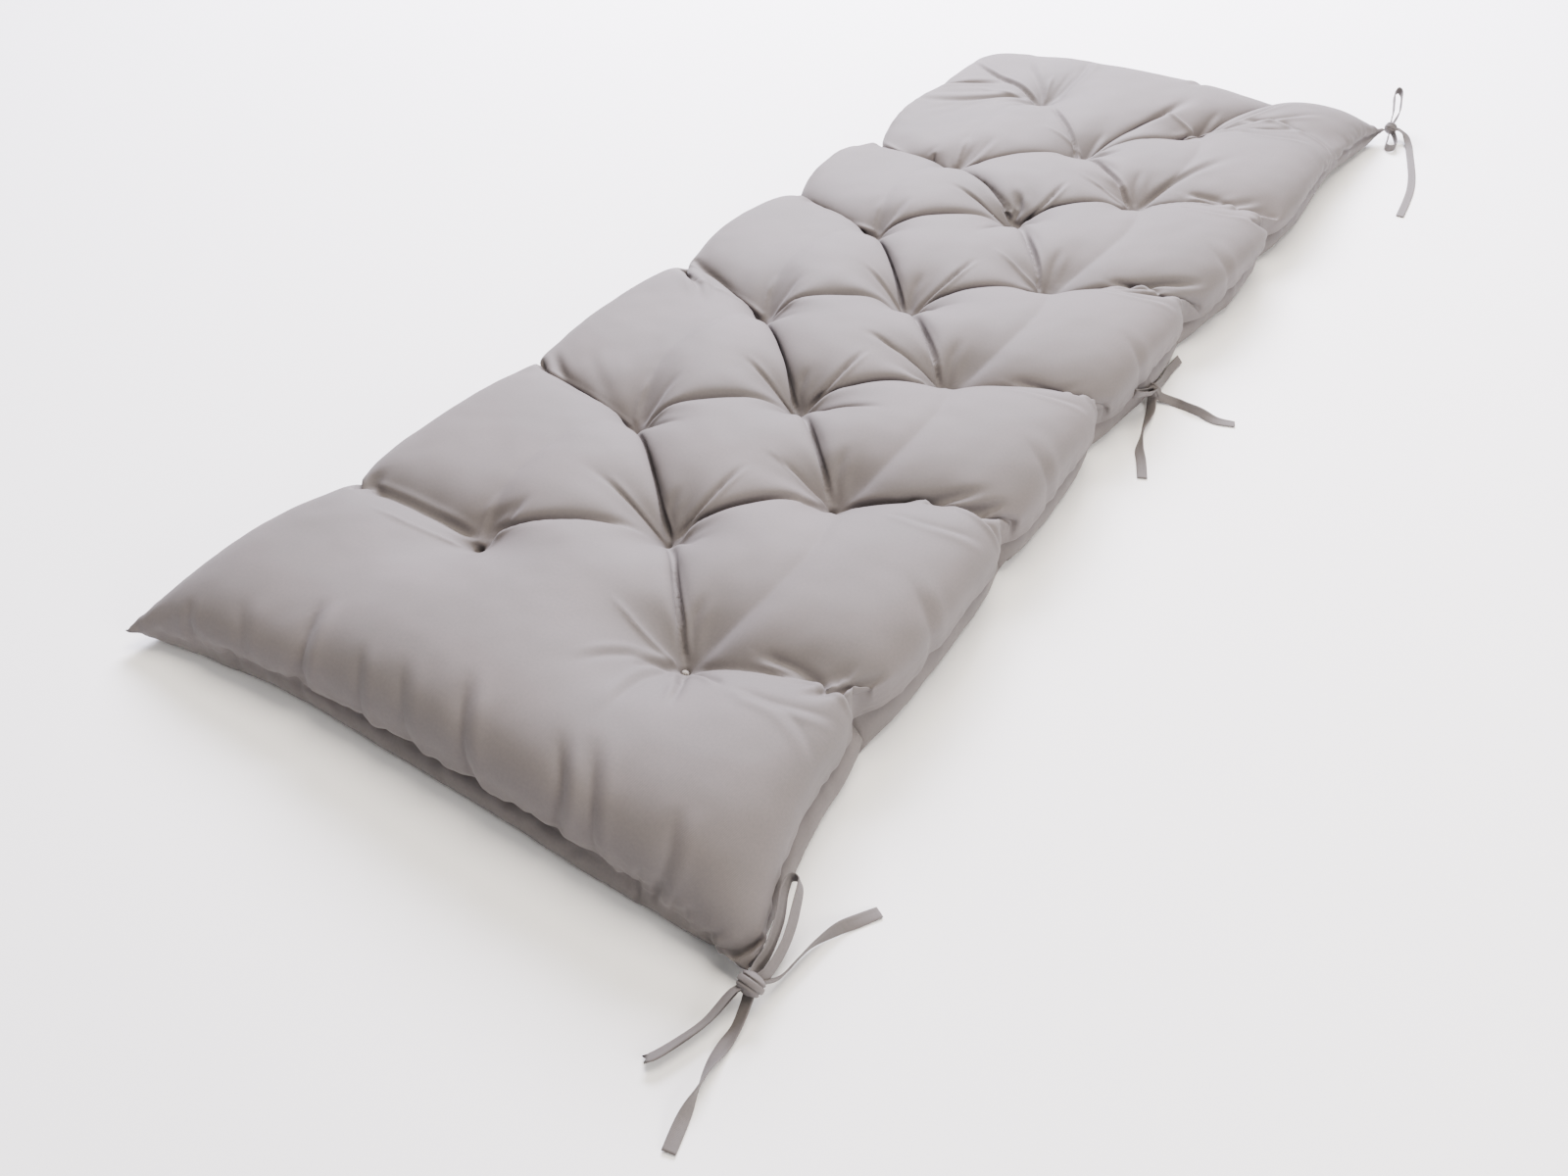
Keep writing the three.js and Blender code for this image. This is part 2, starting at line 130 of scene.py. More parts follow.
def smooth_line(rows, spacing):
    """A centripetal Catmull-Rom curve through rows, thirty points a span, then sampled at even distances. The
    first three columns are the place, and any others go along."""
    rows = np.asarray(rows, float)
    points = np.array([2 * rows[0] - rows[1], *rows, 2 * rows[-1] - rows[-2]])
    knots = np.concatenate([[0], np.cumsum(np.linalg.norm(np.diff(points[:, :3], axis=0), axis=1) ** 0.5)])
    dense = []
    for k in range(1, len(points) - 2):
        t = np.linspace(knots[k], knots[k + 1], 30, endpoint=False)[:, None]
        t0, t1, t2, t3 = knots[k - 1:k + 3]
        p0, p1, p2, p3 = points[k - 1:k + 3]
        a1 = (t1 - t) / (t1 - t0) * p0 + (t - t0) / (t1 - t0) * p1
        a2 = (t2 - t) / (t2 - t1) * p1 + (t - t1) / (t2 - t1) * p2
        a3 = (t3 - t) / (t3 - t2) * p2 + (t - t2) / (t3 - t2) * p3
        b1 = (t2 - t) / (t2 - t0) * a1 + (t - t0) / (t2 - t0) * a2
        b2 = (t3 - t) / (t3 - t1) * a2 + (t - t1) / (t3 - t1) * a3
        dense.append((t2 - t) / (t2 - t1) * b1 + (t - t1) / (t2 - t1) * b2)
    line = np.concatenate([*dense, rows[-1:]])
    run = np.concatenate([[0], np.cumsum(np.linalg.norm(np.diff(line[:, :3], axis=0), axis=1))])
    even = np.linspace(0, run[-1], max(int(round(run[-1] / spacing)), 6) + 1)
    return np.stack([np.interp(even, run, line[:, c]) for c in range(line.shape[1])], 1), run[-1]


# %% The knots and the strands' routes, in millimetres as in the CAD model
# name: centre and half sizes
KNOTS = {
    "near_knot": ((302.9, -763.2, 16.2), (9.5, 8.0, 8.5)),
    "middle_knot": ((269.0, 22.0, 12.0), (7.5, 7.5, 7.5)),
    "far_knot": ((307.6, 767.6, 17.3), (7.5, 7.0, 8.0)),
}
# how far a strand starts inside its knot, how far out it runs straight, and how high it lies on the floor
INTO, OUT, FLOOR = 2.5, 3.0, 1.2
# name: knot, bearing and rise where it leaves, rows of x, y, z and lean, and where it comes back
STRANDS = {
    "near_loop_up": ("near_knot", (100, 18), [
        (301.5, -742, 23, 60), (296, -718, 28, 52), (288, -699, 32, 58), (287, -689, 33, 80),
        (292.5, -688, 32, 105), (301, -706, 28, 125), (308, -731, 23, 118)], (62, 16)),
    "near_loop_low": ("near_knot", (218, -38), [
        (290, -793, 4.0, 40), (284, -813, 3.6, 38), (276, -831, 3.2, 30), (273, -836.5, 4.6, 28),
        (277, -832, 6.6, 30), (284.5, -814, 7.2, 38), (290.5, -796, 7.8, 40)], (232, -8)),
    "near_end_right": ("near_knot", (55, -18), [
        (313, -744, 7, 110), (315, -727, 6, 112), (318, -709, 5.6, 100), (325, -690, 4.6, 55),
        (333, -675, 2.4, 22), (341, -661, FLOOR, 0)], None),
    "near_end_down": ("near_knot", (285, -35), [
        (308, -788, 4, 30), (308, -803, 2, 8), (309, -821, 4.4, 50), (312, -836, 5.6, 84),
        (315, -857, 3.6, 150), (319, -877, FLOOR, 178)], None),
    "middle_loop": ("middle_knot", (255, 32), [
        (266, 2, 22, 60), (265, -12, 29, 55), (264, -23, 34, 60), (265, -29, 36, 80),
        (268.5, -27, 35, 105), (271, -12, 28, 125), (272.5, 3, 21, 120)], (292, 28)),
    "middle_strip": ("middle_knot", (92, -5), [
        (269, 44, 9, 65), (268, 57, 7, 60), (267, 72, 6, 50), (267, 88, 5.5, 45),
        (268, 102, 5.5, 45)], None),
    "middle_end_right": ("middle_knot", (15, -32), [
        (290, 27, 4, 40), (302, 25, 4.6, 75), (318, 23, 4.6, 60), (336, 21, 2.4, 20),
        (354, 27, FLOOR, 0)], None),
    "middle_end_down": ("middle_knot", (290, -38), [
        (276, 2, 3, 20), (280, -18, 4, 45), (284, -42, 5, 80), (291, -66, 3.4, 40),
        (299, -81, 2, 15), (310, -105, FLOOR, 0)], None),
    "far_loop_up": ("far_knot", (112, 35), [
        (302, 791, 27, 88), (297, 806, 35, 90), (293, 818, 42, 90), (295, 826, 45, 90),
        (300, 823, 43, 90), (305, 809, 36, 90), (309, 794, 29, 88)], (84, 32)),
    "far_loop_low": ("far_knot", (278, -42), [
        (311, 750, 6, 88), (312, 738, 5.6, 90), (317, 732, 5.6, 90), (322, 736, 5.6, 90),
        (323, 748, 6, 90)], (318, -26)),
    "far_end": ("far_knot", (20, -5), [
        (327, 772, 11, 0), (336, 762, 4, 0), (345, 737, FLOOR, 0), (355, 704, FLOOR, 0),
        (364, 671, FLOOR, 0), (371, 636, FLOOR, 0), (375, 600, FLOOR, 0), (378, 558, FLOOR, 0)], None),
}


# %% Tapes
TAPE_WIDTH, TAPE_THICK, RING_SPACING = 0.0095, 0.0014, 0.0016
# points round the profile, and the powers that flatten its faces and square its edges
PROFILE_POINTS, ACROSS_POWER, BULGE_POWER = 20, 0.55, 0.7
# the sewn edge's ridge and the groove beside it: height as a share, and place and half width across the tape
RIDGE_AT_EDGE, GROOVE_AT_EDGE = (0.35, 0.72, 0.16), (0.3, 0.5, 0.08)
# a path whose level part is shorter than this keeps the direction of the ring before
STEEP = 0.3


def at_knot(name, heading, lean):
    """Where a strand comes out of its knot: a point inside and one outside, on the oval ball's normal."""
    centre, half = (np.array(v) for v in KNOTS[name])
    bearing, rise = np.radians(heading)
    level = np.cos(rise) ** 0.7
    skin = centre + half * [level * np.cos(bearing), level * np.sin(bearing), np.sin(rise)]
    out = np.array([np.cos(rise) * np.cos(bearing), np.cos(rise) * np.sin(bearing), np.sin(rise)]) / half
    out /= np.linalg.norm(out)
    return [(*(skin + out * d), lean) for d in (-INTO, OUT)]


def strand_rows(knot, leave, rows, back_at):
    """The strand's whole route, from its knot through its rows, and back to the knot if it is a loop."""
    first = at_knot(knot, leave, rows[0][3])
    last = at_knot(knot, back_at, rows[-1][3])[::-1] if back_at else []
    route = np.array([*first, *rows, *last])
    route[:, :3] /= 1000
    return route


def tape(name, route):
    """A flat oval profile carried along the route. At each ring the wide direction is level and square to
    the path, then turned up by the lean; the profile is thickest at the stitched edge."""
    line, length = smooth_line(route, RING_SPACING)
    centre = line[:, :3]
    along = np.gradient(centre, axis=0)
    along /= np.linalg.norm(along, axis=1, keepdims=True)
    level = np.stack([-along[:, 1], along[:, 0], np.zeros(len(along))], 1)
    steep = np.linalg.norm(level, axis=1) < STEEP
    for k in range(1, len(level)):
        if steep[k]:
            level[k] = level[k - 1]
        elif level[k] @ level[k - 1] < 0:
            level[k:] *= -1
    level /= np.linalg.norm(level, axis=1, keepdims=True)
    lean = np.radians(line[:, 3])[:, None]
    wide = level * np.cos(lean) + np.array([0, 0, 1]) * np.sin(lean)
    wide -= along * (wide * along).sum(1, keepdims=True)
    wide /= np.linalg.norm(wide, axis=1, keepdims=True)
    face = np.cross(along, wide)
    turn_at = np.linspace(0, 2 * np.pi, PROFILE_POINTS, endpoint=False)
    across = np.sign(np.cos(turn_at)) * np.abs(np.cos(turn_at)) ** ACROSS_POWER
    bulge = np.sign(np.sin(turn_at)) * np.abs(np.sin(turn_at)) ** BULGE_POWER
    ridge, sunk = (rise * np.exp(-((across - place) / half) ** 2)
                   for rise, place, half in (RIDGE_AT_EDGE, GROOVE_AT_EDGE))
    stitched = 1 + ridge - sunk
    rings = (centre[:, None] + wide[:, None] * (across * TAPE_WIDTH / 2)[:, None]
             + face[:, None] * (bulge * stitched * TAPE_THICK / 2)[:, None])
    n, m = rings.shape[:2]
    ids, sides = ring_faces(n, m)
    faces = [*sides, ids[0, ::-1], ids[-1]]
    girth, run = np.linspace(0, 2 * TAPE_WIDTH, m + 1), np.linspace(0, length, n)
    flat = np.stack(np.meshgrid(girth, run), -1)
    side_uv = np.stack([flat[:-1, :-1], flat[:-1, 1:], flat[1:, 1:], flat[1:, :-1]], 2).reshape(-1, 2)
    caps = np.stack([across * TAPE_WIDTH / 2, bulge * TAPE_THICK / 2], 1)
    uv = np.concatenate([side_uv, caps[::-1], caps])
    obj = add_mesh(name, rings.reshape(-1, 3), faces, uv)
    return obj, centre, length


tapes = {}
for name, (knot, leave, rows, back_at) in STRANDS.items():
    obj, centre, length = tape(name + "_tape", strand_rows(knot, leave, rows, back_at))
    tapes[name] = obj
    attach(obj, "root")
    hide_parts(name)
    print(name, "tape", round(length * 1000), "mm")


# %% [markdown]
# ## The cushion's form
#
# The filling decides roughly how high the cloth can stand at each place: full height between the tufts, none
# at a tuft, less along the creases that run from tuft to tuft, and a quarter round down to the seam. It could
# be sculpted, or blown up as one balloon, but a balloon has no tufts. So it is written as a height over the
# floor plan, with the outline, tufts and crowns of the CAD model. Only the seam differs: it stands higher
# along the sides and ends, and lower at the corner tips. Its place on the plan is four smooth edge curves,
# drawn in between the corners and notched where a channel meets them.

# %% Sizes, in metres
# heights of the domes at the near end and at the far end, how much lower they are on the left, and the tufts
CROWN, FAR_CROWN, LEFT_DROP, TUFT_HEIGHT = 0.092, 0.076, 0.020, 0.038
# heights of the seam, and over what length it rises from a corner tip along an end and along a side
CORNER_SEAM, END_SEAM, SIDE_SEAM = 0.016, 0.025, 0.036
END_RISE, SIDE_RISE = 0.15, 0.16
# how wide the rounding is along the sides, along the ends and under the cushion
RIM, RIM_END, UNDER = 0.070, 0.10, 0.030
# how far a channel draws the seam in, and half the width of that notch
NOTCH, NOTCH_HALF = 0.018, 0.020
# a panel as cut, its rows of tufts and how far they are shifted along it, and the three columns of tufts
FLAT_WIDTH, FLAT_LENGTH = 0.615, 1.576
FLAT_PITCH, FLAT_SHIFT, FLAT_COLUMNS = 0.237, 0.012, (-0.122, 0.006, 0.115)

LEFT_SEAM = [(-0.302, -0.764), (-0.284, -0.70), (-0.258, -0.60), (-0.238, -0.40), (-0.229, -0.15),
             (-0.218, 0.10), (-0.208, 0.35), (-0.207, 0.55), (-0.222, 0.64), (-0.246, 0.680)]
RIGHT_SEAM = [(0.298, -0.758), (0.269, -0.69), (0.249, -0.60), (0.255, -0.42), (0.249, -0.15),
              (0.251, 0.08), (0.268, 0.30), (0.275, 0.50), (0.284, 0.68), (0.302, 0.764)]
NEAR_SEAM = [(-0.302, -0.764), (-0.25, -0.748), (-0.15, -0.734), (-0.03, -0.729), (0.08, -0.732),
             (0.18, -0.741), (0.25, -0.750), (0.298, -0.758)]
FAR_SEAM = [(-0.246, 0.680), (-0.20, 0.679), (-0.10, 0.686), (0.0, 0.698), (0.10, 0.710), (0.20, 0.729),
            (0.302, 0.764)]
LEFT_NOTCHES = [-0.55, -0.32, -0.065, 0.14, 0.325]
RIGHT_NOTCHES = [-0.54, -0.30, -0.09, 0.13, 0.36]

LEFT_TUFTS = [(-0.103, -0.551), (-0.093, -0.352), (-0.098, -0.130), (-0.091, 0.083), (-0.093, 0.278),
              (-0.080, 0.501)]
MIDDLE_TUFTS = [(0.029, -0.467), (0.019, -0.252), (0.019, -0.043), (0.029, 0.194), (0.025, 0.385)]
RIGHT_TUFTS = [(0.124, -0.581), (0.116, -0.353), (0.116, -0.148), (0.121, 0.065), (0.126, 0.303),
               (0.111, 0.503)]
TUFTS = np.array(LEFT_TUFTS + MIDDLE_TUFTS + RIGHT_TUFTS)

# where the panel's edges and its columns and rows of tufts come on the plan, from -1 at one edge to 1
COLUMN_SHARES = [-1, -0.43, 0.05, 0.45, 1]
ROW_SHARES = [-1, -0.765, -0.468, -0.169, 0.128, 0.429, 0.724, 1]
# the share from which a row turns to its channel's notch, and how much of the way it goes, left and right
TURN_START, LEFT_TURN, RIGHT_TURN = 0.44, 0.7, 0.35
# how far round a tuft the cloth is drawn along with it
TUFT_REACH = 0.06


# %% The seam's plan, and where each point of the flat panel comes to lie
def edge(points, share, axis):
    """A cubic Hermite curve through an edge's points; axis is the coordinate that runs along it."""
    points = np.array(points)
    s = (points[:, axis] - points[0, axis]) / (points[-1, axis] - points[0, axis])
    across = points[:, 1 - axis]
    slope = np.empty_like(across)
    slope[1:-1] = (across[2:] - across[:-2]) / (s[2:] - s[:-2])
    slope[0] = (across[1] - across[0]) / (s[1] - s[0])
    slope[-1] = (across[-1] - across[-2]) / (s[-1] - s[-2])
    k = np.clip(np.searchsorted(s, share) - 1, 0, len(s) - 2)
    h = s[k + 1] - s[k]
    x = (share - s[k]) / h
    value = ((1 + 2 * x) * (1 - x) ** 2 * across[k] + x * (1 - x) ** 2 * h * slope[k]
             + x * x * (3 - 2 * x) * across[k + 1] + x * x * (x - 1) * h * slope[k + 1])
    along = points[0, axis] + share * (points[-1, axis] - points[0, axis])
    return [along, value] if axis == 0 else [value, along]


def plan(u, v):
    """Panel position, -1 to 1 each way, to the floor plan: a Coons patch between the four edge curves, which
    is the sum of both blends of opposite edges less the blend of the four corners. A notch is a Gaussian of
    the distance along the seam."""
    a, b = (u + 1) / 2, (v + 1) / 2
    left, right_side = edge(LEFT_SEAM, b, 1), edge(RIGHT_SEAM, b, 1)
    near, far = edge(NEAR_SEAM, a, 0), edge(FAR_SEAM, a, 0)
    left[0] = left[0] + NOTCH * sum(np.exp(-((left[1] - y) / NOTCH_HALF) ** 2) for y in LEFT_NOTCHES)
    right_side[0] = right_side[0] - NOTCH * sum(
        np.exp(-((right_side[1] - y) / NOTCH_HALF) ** 2) for y in RIGHT_NOTCHES)
    return [(1 - b) * near[c] + b * far[c] + (1 - a) * left[c] + a * right_side[c]
            - (1 - a) * (1 - b) * NEAR_SEAM[0][c] - a * (1 - b) * NEAR_SEAM[-1][c]
            - (1 - a) * b * FAR_SEAM[0][c] - a * b * FAR_SEAM[-1][c] for c in (0, 1)]


ROWS = (np.arange(6) - 2.5) * FLAT_PITCH + FLAT_SHIFT
FLAT_TUFTS = np.array([(FLAT_COLUMNS[0], y) for y in ROWS]
                      + [(FLAT_COLUMNS[1], y + FLAT_PITCH / 2) for y in ROWS[:5]]
                      + [(FLAT_COLUMNS[2], y) for y in ROWS])


def shares(flat_x, flat_y):
    """Flat panel to floor plan before the tufts draw it in. Beyond the outer tufts, each row of the flat
    panel turns towards the place where its channel meets the seam."""
    rows = [-FLAT_LENGTH / 2, *ROWS, FLAT_LENGTH / 2]
    u = np.interp(flat_x, [-FLAT_WIDTH / 2, *FLAT_COLUMNS, FLAT_WIDTH / 2], COLUMN_SHARES)
    v = np.interp(flat_y, rows, ROW_SHARES)
    for seam, notches, sign, most in ((LEFT_SEAM, LEFT_NOTCHES, -1, LEFT_TURN),
                                      (RIGHT_SEAM, RIGHT_NOTCHES, 1, RIGHT_TURN)):
        start, length = seam[0][1], seam[-1][1] - seam[0][1]
        ends = [2 * (y - start) / length - 1 for y in notches]
        ends = [-1, *ends, (ends[-1] + 1) / 2, 1]
        turn = most * np.clip((sign * u - TURN_START) / (1 - TURN_START), 0, 1)
        v = v + turn * (np.interp(flat_y, rows, ends) - v)
    return plan(u, v)


def finished(flat_x, flat_y):
    """Flat panel points on the floor plan, with each tuft's surroundings drawn onto the tuft."""
    x, y = shares(flat_x, flat_y)
    px, py = shares(*FLAT_TUFTS.T)
    dx, dy, total = np.zeros_like(x), np.zeros_like(y), np.zeros_like(x)
    for (a, b), (c, d), sx, sy in zip(FLAT_TUFTS, TUFTS, px, py):
        w = np.exp(-(np.hypot(flat_x - a, flat_y - b) / TUFT_REACH) ** 2)
        dx, dy, total = dx + w * (c - sx), dy + w * (d - sy), total + w
    total = np.maximum(total, 1)
    return x + dx / total, y + dy / total


# %% The height that the filling allows
# where along the cushion the crown starts to fall, over what length it falls, and where the left side begins
FALL_FROM, FALL_LENGTH, LEFT_FROM = -0.25, 0.75, 0.08
# how far a tuft's dip reaches in the top, how far it lifts the underside, and how far apart the panels stay
TOP_DIP, UNDER_DIP, UNDER_TOP = 0.030, 0.055, 0.002


def quarter(distance, radius):
    """A quarter round: 0 at distance 0, rising as the square root of 1 - (1 - t)^2 to 1 at the radius."""
    t = np.clip(distance / radius, 0, 1)
    return np.sqrt(np.clip(1 - (1 - t) ** 2, 0, 1))


def smooth(t):
    """An S curve from 0 to 1: three times t squared less twice t cubed."""
    t = np.clip(t, 0, 1)
    return t * t * (3 - 2 * t)


# for each kind of crease: how far its floor rises to the dome at its middle, as a share, its half width in
# metres, and the power of its side slope, where 1 is a sharp fold and 2 a round one
DIAMOND = (0.60, 0.016, 0.9)
FIRST_CHANNEL = (0.32, 0.021, 1.2)
LEFT_CHANNEL = (0.48, 0.019, 1.1)
RIGHT_CHANNEL = (0.50, 0.021, 1.1)
LAST_CHANNEL = (0.75, 0.022, 1.1)
FAR_LEFT_CHANNEL = (0.92, 0.022, 1.1)
# where the last channel ends along the seam, and how far out all channels end
LAST_NOTCH, CHANNEL_END = 0.60, 0.262


def creases():
    """From, to, height at both ends, and shape of each crease and channel."""
    rows = []
    tuft, seam = TUFT_HEIGHT, SIDE_SEAM
    for side in (LEFT_TUFTS, RIGHT_TUFTS):
        rows += [(side[k], MIDDLE_TUFTS[k], tuft, tuft, DIAMOND) for k in range(5)]
        rows += [(MIDDLE_TUFTS[k], side[k + 1], tuft, tuft, DIAMOND) for k in range(5)]
    for k, (a, b) in enumerate(zip(LEFT_NOTCHES + [LAST_NOTCH], RIGHT_NOTCHES + [LAST_NOTCH])):
        left, right = (LEFT_CHANNEL, RIGHT_CHANNEL) if k < 5 else (LAST_CHANNEL, LAST_CHANNEL)
        left, right = (FIRST_CHANNEL, FIRST_CHANNEL) if k == 0 else (left, right)
        left = FAR_LEFT_CHANNEL if k == 5 else left
        rows += [(LEFT_TUFTS[k], (-CHANNEL_END, a), tuft, seam, left),
                 (RIGHT_TUFTS[k], (CHANNEL_END, b), tuft, seam, right)]
    return rows


CREASES = creases()


def seam_height(in_x, in_y):
    """The seam is lowest at the corner tips. From there it rises in an S curve along the ends and, higher,
    along the sides."""
    end = CORNER_SEAM + (END_SEAM - CORNER_SEAM) * smooth(in_x / END_RISE)
    side = CORNER_SEAM + (SIDE_SEAM - CORNER_SEAM) * smooth(in_y / SIDE_RISE)
    return np.maximum(end, side)


def mould(x, y, in_x, in_y):
    """Top and underside heights of the filling; in_x and in_y are distances in from the flat panel's rim.
    The dome is the product of two quarter rounds, each to the power 0.9. At a distance r from a tuft it is
    lowered by exp(-(r / 30 mm)^1.2). Each crease keeps it down to a floor that rises as 1 - (2t - 1)^4 along
    the crease, by exp(-(off / half)^power) across it."""
    seam = seam_height(in_x, in_y)
    full = quarter(in_x, RIM) ** 0.9 * quarter(in_y, RIM_END) ** 0.9
    crown = CROWN + (FAR_CROWN - CROWN) * smooth((y - FALL_FROM) / FALL_LENGTH)
    crown = crown - LEFT_DROP * smooth((-LEFT_FROM - x) / LEFT_FROM)
    dome = seam + (crown - seam) * full
    room = np.clip((dome - TUFT_HEIGHT) / (crown - TUFT_HEIGHT), 0, 1)
    keep, lift = np.ones_like(x), np.zeros_like(x)
    for a, b in TUFTS:
        r = np.hypot(x - a, y - b)
        keep = keep * (1 - np.exp(-(r / TOP_DIP) ** 1.2))
        lift = np.maximum(lift, smooth(1 - r / UNDER_DIP))
    top = dome - (crown - TUFT_HEIGHT) * room * (1 - keep)
    for (ax, ay), (bx, by), za, zb, (hump, half, power) in CREASES:
        ex, ey = bx - ax, by - ay
        length = np.hypot(ex, ey)
        t = np.clip(((x - ax) * ex + (y - ay) * ey) / length ** 2, 0, 1)
        off = np.hypot(x - ax - t * ex, y - ay - t * ey)
        floor = za + (zb - za) * t
        floor = np.minimum(floor + hump * np.maximum(dome - floor, 0) * (1 - (2 * t - 1) ** 4), dome)
        top = np.minimum(top, floor + (dome - floor) * (1 - np.exp(-(off / half) ** power)))
    rise = seam * (1 - quarter(np.minimum(in_x, in_y), UNDER))
    return top, np.maximum(rise, (TUFT_HEIGHT - UNDER_TOP) * lift)


# %% [markdown]
# ## Sewing and filling
#
# Both panels are square grids of points whose spacing is the cloth's own length. Each step the filling pushes
# along the cloth's normals wherever the cloth is below the height that it allows, then the spacings, the
# shear and the bending are put right, the two rims are kept sewn, the tufts are held and nothing goes under
# the floor. This is position-based dynamics. It is run with whole numpy arrays, first on a coarse grid and
# then on one twice as fine, and it has no random part but one seeded start.

# %% The solver
# how much of a squeeze and a shear is put right in a pass, where a stretch is 1, and of a bend in a step
COMPRESS, SHEAR, BEND, PASSES = 0.2, 0.3, 0.015, 5
# the push of a step as a share of a cell, the height over which it fades, its share at the allowed height,
# and within what distance of a corner tip it is weaker
PRESS, FADE, OVER, TIP = 0.02, 0.020, 0.3, 0.05
# how much of the way the seam is drawn to its place in a step, how much of the motion is kept, and how much
# of that is left along the floor to the cloth that lies on it
SEAM_PULL, DAMP, FRICTION = 0.5, 0.94, 0.3
# how far the weight draws the cloth down in a step, and how close the panels may come
WEIGHT, CLOSEST = 0.00002, 0.001
# how far below a tuft's height the two panels are held there
HELD_TOP, HELD_UNDER = 0.001, 0.003
# the least length of a cell in plan, as a share, and how many cells at the rim that leaves out
LEAST_CELL, RIM_CELLS = 0.08, 4
START_ROUGHNESS, START_SEED = 0.0003, 1
RIMS = (np.s_[:, 0, :], np.s_[:, -1, :], np.s_[:, :, 0], np.s_[:, :, -1])


def grid(cell):
    """The flat panel's grid lines both ways, with an even number of cells of about one size."""
    nu, nv = 2 * int(round(FLAT_WIDTH / cell / 2)), 2 * int(round(FLAT_LENGTH / cell / 2))
    return (np.linspace(-FLAT_WIDTH / 2, FLAT_WIDTH / 2, nu + 1),
            np.linspace(-FLAT_LENGTH / 2, FLAT_LENGTH / 2, nv + 1))


def flat_places(u, v):
    """Every grid point's place on the flat panel, and its distances in from the side and the end."""
    flat_x, flat_y = np.meshgrid(u, v, indexing="ij")
    return flat_x, flat_y, FLAT_WIDTH / 2 - np.abs(flat_x), FLAT_LENGTH / 2 - np.abs(flat_y)


def lay_out(u, v):
    """Both panels laid on the mould, with a slight seeded roughness, and their rims joined."""
    flat_x, flat_y, in_x, in_y = flat_places(u, v)
    x, y = finished(flat_x, flat_y)
    top, under = mould(x, y, in_x, in_y)
    panels = np.stack([[x, y, top], [x, y, under]])
    panels += np.random.default_rng(START_SEED).normal(0, START_ROUGHNESS, panels.shape)
    middle = panels.mean(0)
    for rim in RIMS:
        panels[0][rim] = panels[1][rim] = middle[rim]
    return panels


def finer(panels, u, v):
    """Twice as many cells each way. A new point is (9 (b + c) - a - d) / 16 of the four old ones in its line,
    and the mean of two beside the rim."""
    def halve(a, axis):
        a = np.moveaxis(a, axis, -1)
        out = np.empty(a.shape[:-1] + (2 * a.shape[-1] - 1,), a.dtype)
        out[..., ::2] = a
        middle = (a[..., :-1] + a[..., 1:]) / 2
        middle[..., 1:-1] = (9 * (a[..., 1:-2] + a[..., 2:-1]) - a[..., :-3] - a[..., 3:]) / 16
        out[..., 1::2] = middle
        return np.moveaxis(out, -1, axis)
    return (halve(halve(panels, 2), 3), np.linspace(u[0], u[-1], 2 * len(u) - 1),
            np.linspace(v[0], v[-1], 2 * len(v) - 1))


def pull(a, b, rest, stretch, squeeze):
    """Moves two sets of points so that their distances come nearer to rest."""
    d = b - a
    length = np.sqrt(np.einsum("pcij,pcij->pij", d, d))[:, None]
    error = (length - rest) / length
    error *= np.where(error > 0, np.float32(0.5 * stretch), np.float32(0.5 * squeeze))
    d *= error
    a += d
    b -= d


def soften(x, k):
    """Bending: each point goes a little towards the middle of its neighbours, and they the other way."""
    for mid, low, high in ((np.s_[:, :, 1:-1], np.s_[:, :, :-2], np.s_[:, :, 2:]),
                           (np.s_[..., 1:-1], np.s_[..., :-2], np.s_[..., 2:])):
        d = ((x[low] + x[high]) * np.float32(0.5) - x[mid]) * np.float32(k)
        x[mid] += d
        d *= np.float32(0.5)
        x[low] -= d
        x[high] -= d


def keep_order(x, axis, least):
    """Neighbours in plan never change places, away from the rim, and keep a least distance."""
    r = RIM_CELLS
    cut = slice(r, -r)
    if axis == 0:
        a, b = x[0, 0, r:-r - 1, cut], x[0, 0, r + 1:-r, cut]
    else:
        a, b = x[0, 1, cut, r:-r - 1], x[0, 1, cut, r + 1:-r]
    gap = np.clip(least - (b - a), 0, None) * np.float32(0.5)
    b += gap
    a -= gap


def normals(x, sign):
    """Each point's normal, by central differences along both threads."""
    du, dv = np.empty_like(x), np.empty_like(x)
    du[:, :, 1:-1] = x[:, :, 2:] - x[:, :, :-2]
    du[:, :, 0], du[:, :, -1] = x[:, :, 1] - x[:, :, 0], x[:, :, -1] - x[:, :, -2]
    dv[..., 1:-1] = x[..., 2:] - x[..., :-2]
    dv[..., 0], dv[..., -1] = x[..., 1] - x[..., 0], x[..., -1] - x[..., -2]
    return np.cross(du, dv, axis=1) * sign


